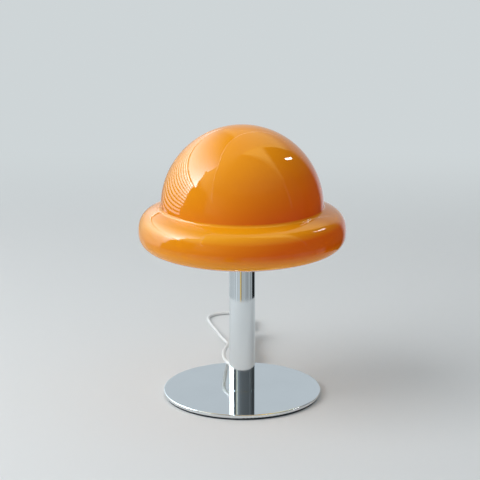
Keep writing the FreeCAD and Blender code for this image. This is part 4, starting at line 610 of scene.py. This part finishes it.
# What polished metal mirrors of the floor: how far off the table top ends, and the greys of the room
# near it and further off, as broad areas by the direction in degrees, 0 towards the camera and 90 to
# its right
TABLE_REACH = 0.5
TABLE_EDGE = 0.004
NEAR_ROOM = [
    (-180, 0.75), (-25, 0.75), (0, 0.50), (93, 0.50), (98, 0.02), (138, 0.02), (145, 0.75), (180, 0.75),
]
FAR_ROOM = [
    (-180, 0.75), (-115, 0.80), (-95, 0.20), (-35, 0.25), (0, 0.15), (75, 0.15), (100, 0.05), (138, 0.05),
    (148, 0.75), (180, 0.75),
]
NEAR_ROOM_ENDS = (0.85, 1.1)
ROOM_TINT = (0.93, 1.0, 1.04, 1.0)
WOODEN_DOOR = (0.74, 0.50, 0.10, 1.0)
DOOR_DIRECTIONS = (-17.5, -8.5)
DOOR_EDGE = 3.5

# Light and dark uprights in the near room, from a noise over the direction: how many come in a degree,
# and the shares of its grey that they leave
UPRIGHTS_PER_DEGREE = 0.07
UPRIGHT_SHARES = (0.45, 1.15)

# Below the level of the shade the blind goes on in the floor, as seen from that height
SHADE_HEIGHT = 0.30
LOW_BLIND_ACROSS = (-1.5, 0.36)
LOW_BLIND_EDGE = 0.03
LOW_BLIND_AWAY = (0.85, 0.95)
LOW_BLIND_UP = (-0.40, -0.26)

# How far behind the lamp the floor takes the wall's even tone for the camera
WALL_STARTS = (0.7, 1.7)


def pale_floor():
    """The floor: lit near the lamp, one even tone further off, and a room for mirrors."""
    floor = Tree(bpy.data.materials.new("pale_floor"))
    x = floor.split(floor.where())
    y = x.output("Y")
    camera_ray = floor.node("ShaderNodeLightPath", output="Is Camera Ray")
    surface = floor.node("ShaderNodeBsdfPrincipled", inputs={
        "Base Color": FLOOR_TONE, "Roughness": 0.7, "Specular IOR Level": 0.2})
    wall = floor.lit("ShaderNodeEmission", WALL_TONE, 1.0)

    azimuth = azimuth_of(x, y)
    away = floor.maths("SQRT", x * x + y * y)
    near = floor.between(away, *NEAR_ROOM_ENDS, 1.0, 0.0)
    uprights = floor.node("ShaderNodeTexNoise", {"noise_dimensions": "1D"}, {
        "W": azimuth, "Scale": UPRIGHTS_PER_DEGREE, "Detail": 2.0})
    near_grey = floor.graded(azimuth, NEAR_ROOM) * floor.between(uprights, *NOISE_REACH, *UPRIGHT_SHARES)
    grey = near_grey * near + floor.graded(azimuth, FAR_ROOM) * (1.0 - near)
    seen = floor.mixed(grey, BLACK, ROOM_TINT)
    seen = floor.mixed(floor.band(azimuth, *DOOR_DIRECTIONS, DOOR_EDGE) * near, seen, WOODEN_DOOR)
    room = floor.lit("ShaderNodeEmission", seen, 1.0)

    meets, across, up = on_window_plane(x, y, -SHADE_HEIGHT)
    blind = floor.band(across, *LOW_BLIND_ACROSS, LOW_BLIND_EDGE) * meets
    blind = blind * floor.between(away, *LOW_BLIND_AWAY, 0.0, 1.0)
    blind = blind * floor.between(up, *LOW_BLIND_UP, 0.0, 1.0)
    slats = floor.mixed(slatted(across, up), BLACK, ROOM_TINT)
    room = floor.either(blind, room, floor.lit("ShaderNodeEmission", slats, SLAT_LIGHT))

    off_table = floor.between(away - TABLE_REACH, -TABLE_EDGE, TABLE_EDGE, 0.0, 1.0)
    shown = floor.either(floor.step(y, *WALL_STARTS) * camera_ray, surface, wall)
    shown = floor.either(off_table * camera_ray.output("Is Glossy Ray"), shown, room)
    floor.node("ShaderNodeOutputMaterial", inputs={"Surface": shown})
    return floor.owner


floor_corners = np.array([[-1, -1, 0], [1, -1, 0], [1, 1, 0], [-1, 1, 0]]) * FLOOR_HALF_WIDTH
floor = mesh_object("floor", floor_corners, [(0, 1, 2, 3)])
floor.data.materials.append(pale_floor())

# The window's right edge: how far across it is at each slope up, and how ragged
WINDOW_RIGHT_EDGE = [
    (-0.20, 0.36), (0.00, 0.44), (0.20, 0.51), (0.50, 0.60), (0.56, 0.75), (0.80, 0.72), (1.00, 0.75),
    (1.20, 0.65), (1.35, 0.80), (1.70, 0.90), (2.20, 0.98),
]
RAGGED_BY = 0.10
RAGGED_SCALE = 4.0
WINDOW_EDGE = 0.02

# The arch over the window: its level top, and the slope that comes down to the right
ARCH_TOP = 2.52
ARCH_SLOPE_START = 3.32
ARCH_SLOPE = 0.85
ARCH_LEFT_END = (-1.75, -1.25)
UPPER_WALL = (0.75, 0.9)
TRIM_DEPTH = (0.02, 0.09)
TRIM_EDGE = 0.01
TRIM_LIGHT = 2.6
REVEAL_ACROSS = (0.5, 1.5)
REVEAL_LIGHT = (0.9, 0.35)
REVEAL_COOL = 0.4
REVEAL_WARM = 1.4

# The bare pane above the blind, whose glow grows to the right and fades upwards
PANE_LIGHT = 7.0
PANE_GLOW_ACROSS = 1.45
PANE_GLOW_UP = 1.4
PANE_GLOW_MORE = 0.91
PANE_GLOW_FOOT = 0.6
PANE_STARTS = (0.535, 0.56)
BLIND_ENDS = (0.515, 0.53)
BLIND_STARTS = (-0.24, -0.16)


def window_wall(x, y, z):
    """The lit window with its slatted blind: its light, how much of the view it fills, and its reveal."""
    sky = x.tree
    meets, across, up = on_window_plane(x, y, z)
    ragged = sky.noise(RAGGED_SCALE, detail=2.0, vector=sky.where("Generated")) * RAGGED_BY - RAGGED_BY / 2
    right = sky.graded(up, WINDOW_RIGHT_EDGE) + ragged
    to_arch = sky.maths("MINIMUM", ARCH_TOP - up, ARCH_SLOPE_START - up - across * ARCH_SLOPE)
    arch = sky.step(to_arch, -WINDOW_EDGE, WINDOW_EDGE) * meets * sky.step(across, *ARCH_LEFT_END)
    inside = arch * sky.step(right - across, -WINDOW_EDGE, WINDOW_EDGE)
    upper = sky.between(up, *UPPER_WALL, 0.0, 1.0) * meets
    reveal = arch * (1.0 - inside) * upper * sky.between(across, *REVEAL_ACROSS, *REVEAL_LIGHT)
    trim = sky.band(to_arch, *TRIM_DEPTH, TRIM_EDGE) * upper * TRIM_LIGHT
    fade = sky.maths("MAXIMUM", up, PANE_GLOW_FOOT) * PANE_GLOW_UP
    pane = sky.maths("EXPONENT", across * PANE_GLOW_ACROSS - fade + PANE_GLOW_MORE) * PANE_LIGHT
    pane = pane * sky.step(up, *PANE_STARTS)
    blind = sky.between(up, *BLIND_ENDS, 1.0, 0.0, "SMOOTHSTEP") * sky.between(up, *BLIND_STARTS, 0.0, 1.0)
    blind = slatted(across, up) * SLAT_LIGHT * blind
    return (pane + blind) * inside + trim, inside, reveal


# What mirrors see above the table top, by direction in degrees: the strength of the room up to
# LOW_ROOM_TOP, which is a share of LOW_ROOM_HEIGHT, its strength above that, and how warm it is there
ROUND_THE_ROOM = [
    (-180, 0.65), (-150, 0.80), (-130, 0.60), (-95, 0.30), (-80, 0.15), (-56, 0.15), (-50, 0.50),
    (-20, 0.20), (0, 0.15), (95, 0.10), (100, 0.06), (139, 0.06), (148, 0.65), (180, 0.65),
]
LOW_ROOM_TOP = [
    (-180, 0.42), (-20, 0.32), (30, 0.34), (74, 0.34), (76, 0.37), (80, 0.55), (85, 0.67), (97, 0.78),
    (116, 0.84), (135, 0.84), (139, 0.45), (146, 0.30), (180, 0.42),
]
LOW_ROOM_HEIGHT = 75.0
LOW_ROOM_EDGE = 4.0
HIGH_ROUND_THE_ROOM = [
    (-180, 0.62), (-150, 0.52), (-95, 0.50), (-66, 0.38), (-30, 0.22), (0, 0.20), (30, 0.20), (72, 0.16),
    (85, 0.14), (100, 0.20), (138, 0.20), (146, 0.52), (165, 0.58), (180, 0.62),
]
WARM_HIGH = [
    (-180, 0.15), (-66, 0.26), (-30, 0.12), (50, 0.12), (74, 0.12), (80, 0.45), (97, 1.00), (132, 1.00),
    (144, 0.40), (180, 0.15),
]
WARM_LEVEL = 2.5
WARM_STARTS = (28.0, 38.0)

# A bright slanting streak on the right, as the turn and height of its middle and its half size in degrees
STREAK_AZIMUTH = 122.5
STREAK_HEIGHT = 37.0
STREAK_SLANT = (0.78, 0.62)
STREAK_HALF_LENGTH = 7.5
STREAK_HALF_WIDTH = 1.1
STREAK_EDGES = (1.0, 0.5)
STREAK_LIGHT = 25.0

# An upright corner of the room that catches light
CORNER_DIRECTIONS = (72.0, 73.6)
CORNER_HEIGHTS = (2.0, 30.0)
CORNER_EDGES = (0.6, 4.0)
CORNER_LIGHT = 0.4

COOL_LIGHT = (0.86, 0.94, 1.0, 1.0)
WARM_LIGHT = (1.0, 0.84, 0.28, 1.0)
EVEN_LIGHT = (0.9, 0.94, 0.97, 1.0)
EVEN_STRENGTH = 0.55


def surroundings(world):
    """The world: even soft light, the wall's tone to the camera, and a lit room to mirrors."""
    sky = Tree(world)
    x = sky.split(sky.where("Generated"))
    y = x.output("Y")
    z = x.output("Z")
    azimuth = azimuth_of(x, y)
    height = sky.maths("ARCSINE", z) * math.degrees(1.0)
    window, inside, reveal = window_wall(x, y, z)
    low = sky.graded(azimuth, ROUND_THE_ROOM)
    high = sky.graded(azimuth, HIGH_ROUND_THE_ROOM)
    over_low = height - sky.graded(azimuth, LOW_ROOM_TOP) * LOW_ROOM_HEIGHT
    lifted = sky.step(over_low, -LOW_ROOM_EDGE, LOW_ROOM_EDGE)
    room = low * (1.0 - lifted) + high * lifted
    turn = azimuth - STREAK_AZIMUTH
    rise = height - STREAK_HEIGHT
    along = turn * STREAK_SLANT[0] - rise * STREAK_SLANT[1]
    aside = turn * STREAK_SLANT[1] + rise * STREAK_SLANT[0]
    streak = sky.band(along, -STREAK_HALF_LENGTH, STREAK_HALF_LENGTH, STREAK_EDGES[0])
    streak = streak * sky.band(aside, -STREAK_HALF_WIDTH, STREAK_HALF_WIDTH, STREAK_EDGES[1])
    corner = sky.band(azimuth, *CORNER_DIRECTIONS, CORNER_EDGES[0])
    corner = corner * sky.band(height, *CORNER_HEIGHTS, CORNER_EDGES[1])
    seen = window + room * (1.0 - inside) + streak * STREAK_LIGHT + corner * CORNER_LIGHT
    warm = sky.graded(azimuth, WARM_HIGH) * lifted * sky.between(height, *WARM_STARTS, 0.0, WARM_LEVEL)
    warm = warm * (1.0 - inside) + reveal * REVEAL_WARM
    cool_room = sky.lit("ShaderNodeBackground", COOL_LIGHT, seen + reveal * REVEAL_COOL)
    warm_room = sky.lit("ShaderNodeBackground", WARM_LIGHT, warm)
    mirrored = sky.node("ShaderNodeAddShader", inputs={0: cool_room, 1: warm_room})
    even = sky.lit("ShaderNodeBackground", EVEN_LIGHT, EVEN_STRENGTH)
    wall = sky.lit("ShaderNodeBackground", WALL_TONE, 1.0)
    camera_ray = sky.node("ShaderNodeLightPath", output="Is Camera Ray")
    shown = sky.either(camera_ray.output("Is Glossy Ray"), even, mirrored)
    sky.node("ShaderNodeOutputWorld", inputs={"Surface": sky.either(camera_ray, shown, wall)})


scene = bpy.context.scene
scene.view_settings.view_transform = "Standard"
scene.world = bpy.data.worlds.new("studio")
surroundings(scene.world)

LAMP_MIDDLE = Vector((0.0, 0.0, 0.22))


def softbox(name, azimuth, elevation, distance, width, height, power):
    """A soft lamp that faces the shade from a direction given as for the camera."""
    data = bpy.data.lights.new(name, "AREA")
    data.shape = "RECTANGLE"
    data.size = width
    data.size_y = height
    data.energy = power
    lamp = bpy.data.objects.new(name, data)
    scene.collection.objects.link(lamp)
    turn = math.radians(azimuth)
    rise = math.radians(elevation)
    direction = Vector((math.sin(turn) * math.cos(rise), -math.cos(turn) * math.cos(rise), math.sin(rise)))
    lamp.location = LAMP_MIDDLE + direction * distance
    lamp.rotation_euler = direction.to_track_quat("Z", "Y").to_euler()
    lamp.visible_glossy = False


softbox("window_light", azimuth=-70.0, elevation=42.0, distance=2.4, width=2.0, height=1.8, power=38.0)

CAMERA_PLACE = (-0.0032, -2.4438, 0.8888)
CAMERA_TILT = 75.0

camera_data = bpy.data.cameras.new("camera")
camera_data.lens = 131.25
camera_data.sensor_width = 36.0
camera = bpy.data.objects.new("camera", camera_data)
scene.collection.objects.link(camera)
camera.location = CAMERA_PLACE
camera.rotation_euler = (math.radians(CAMERA_TILT), 0.0, 0.0)
scene.camera = camera
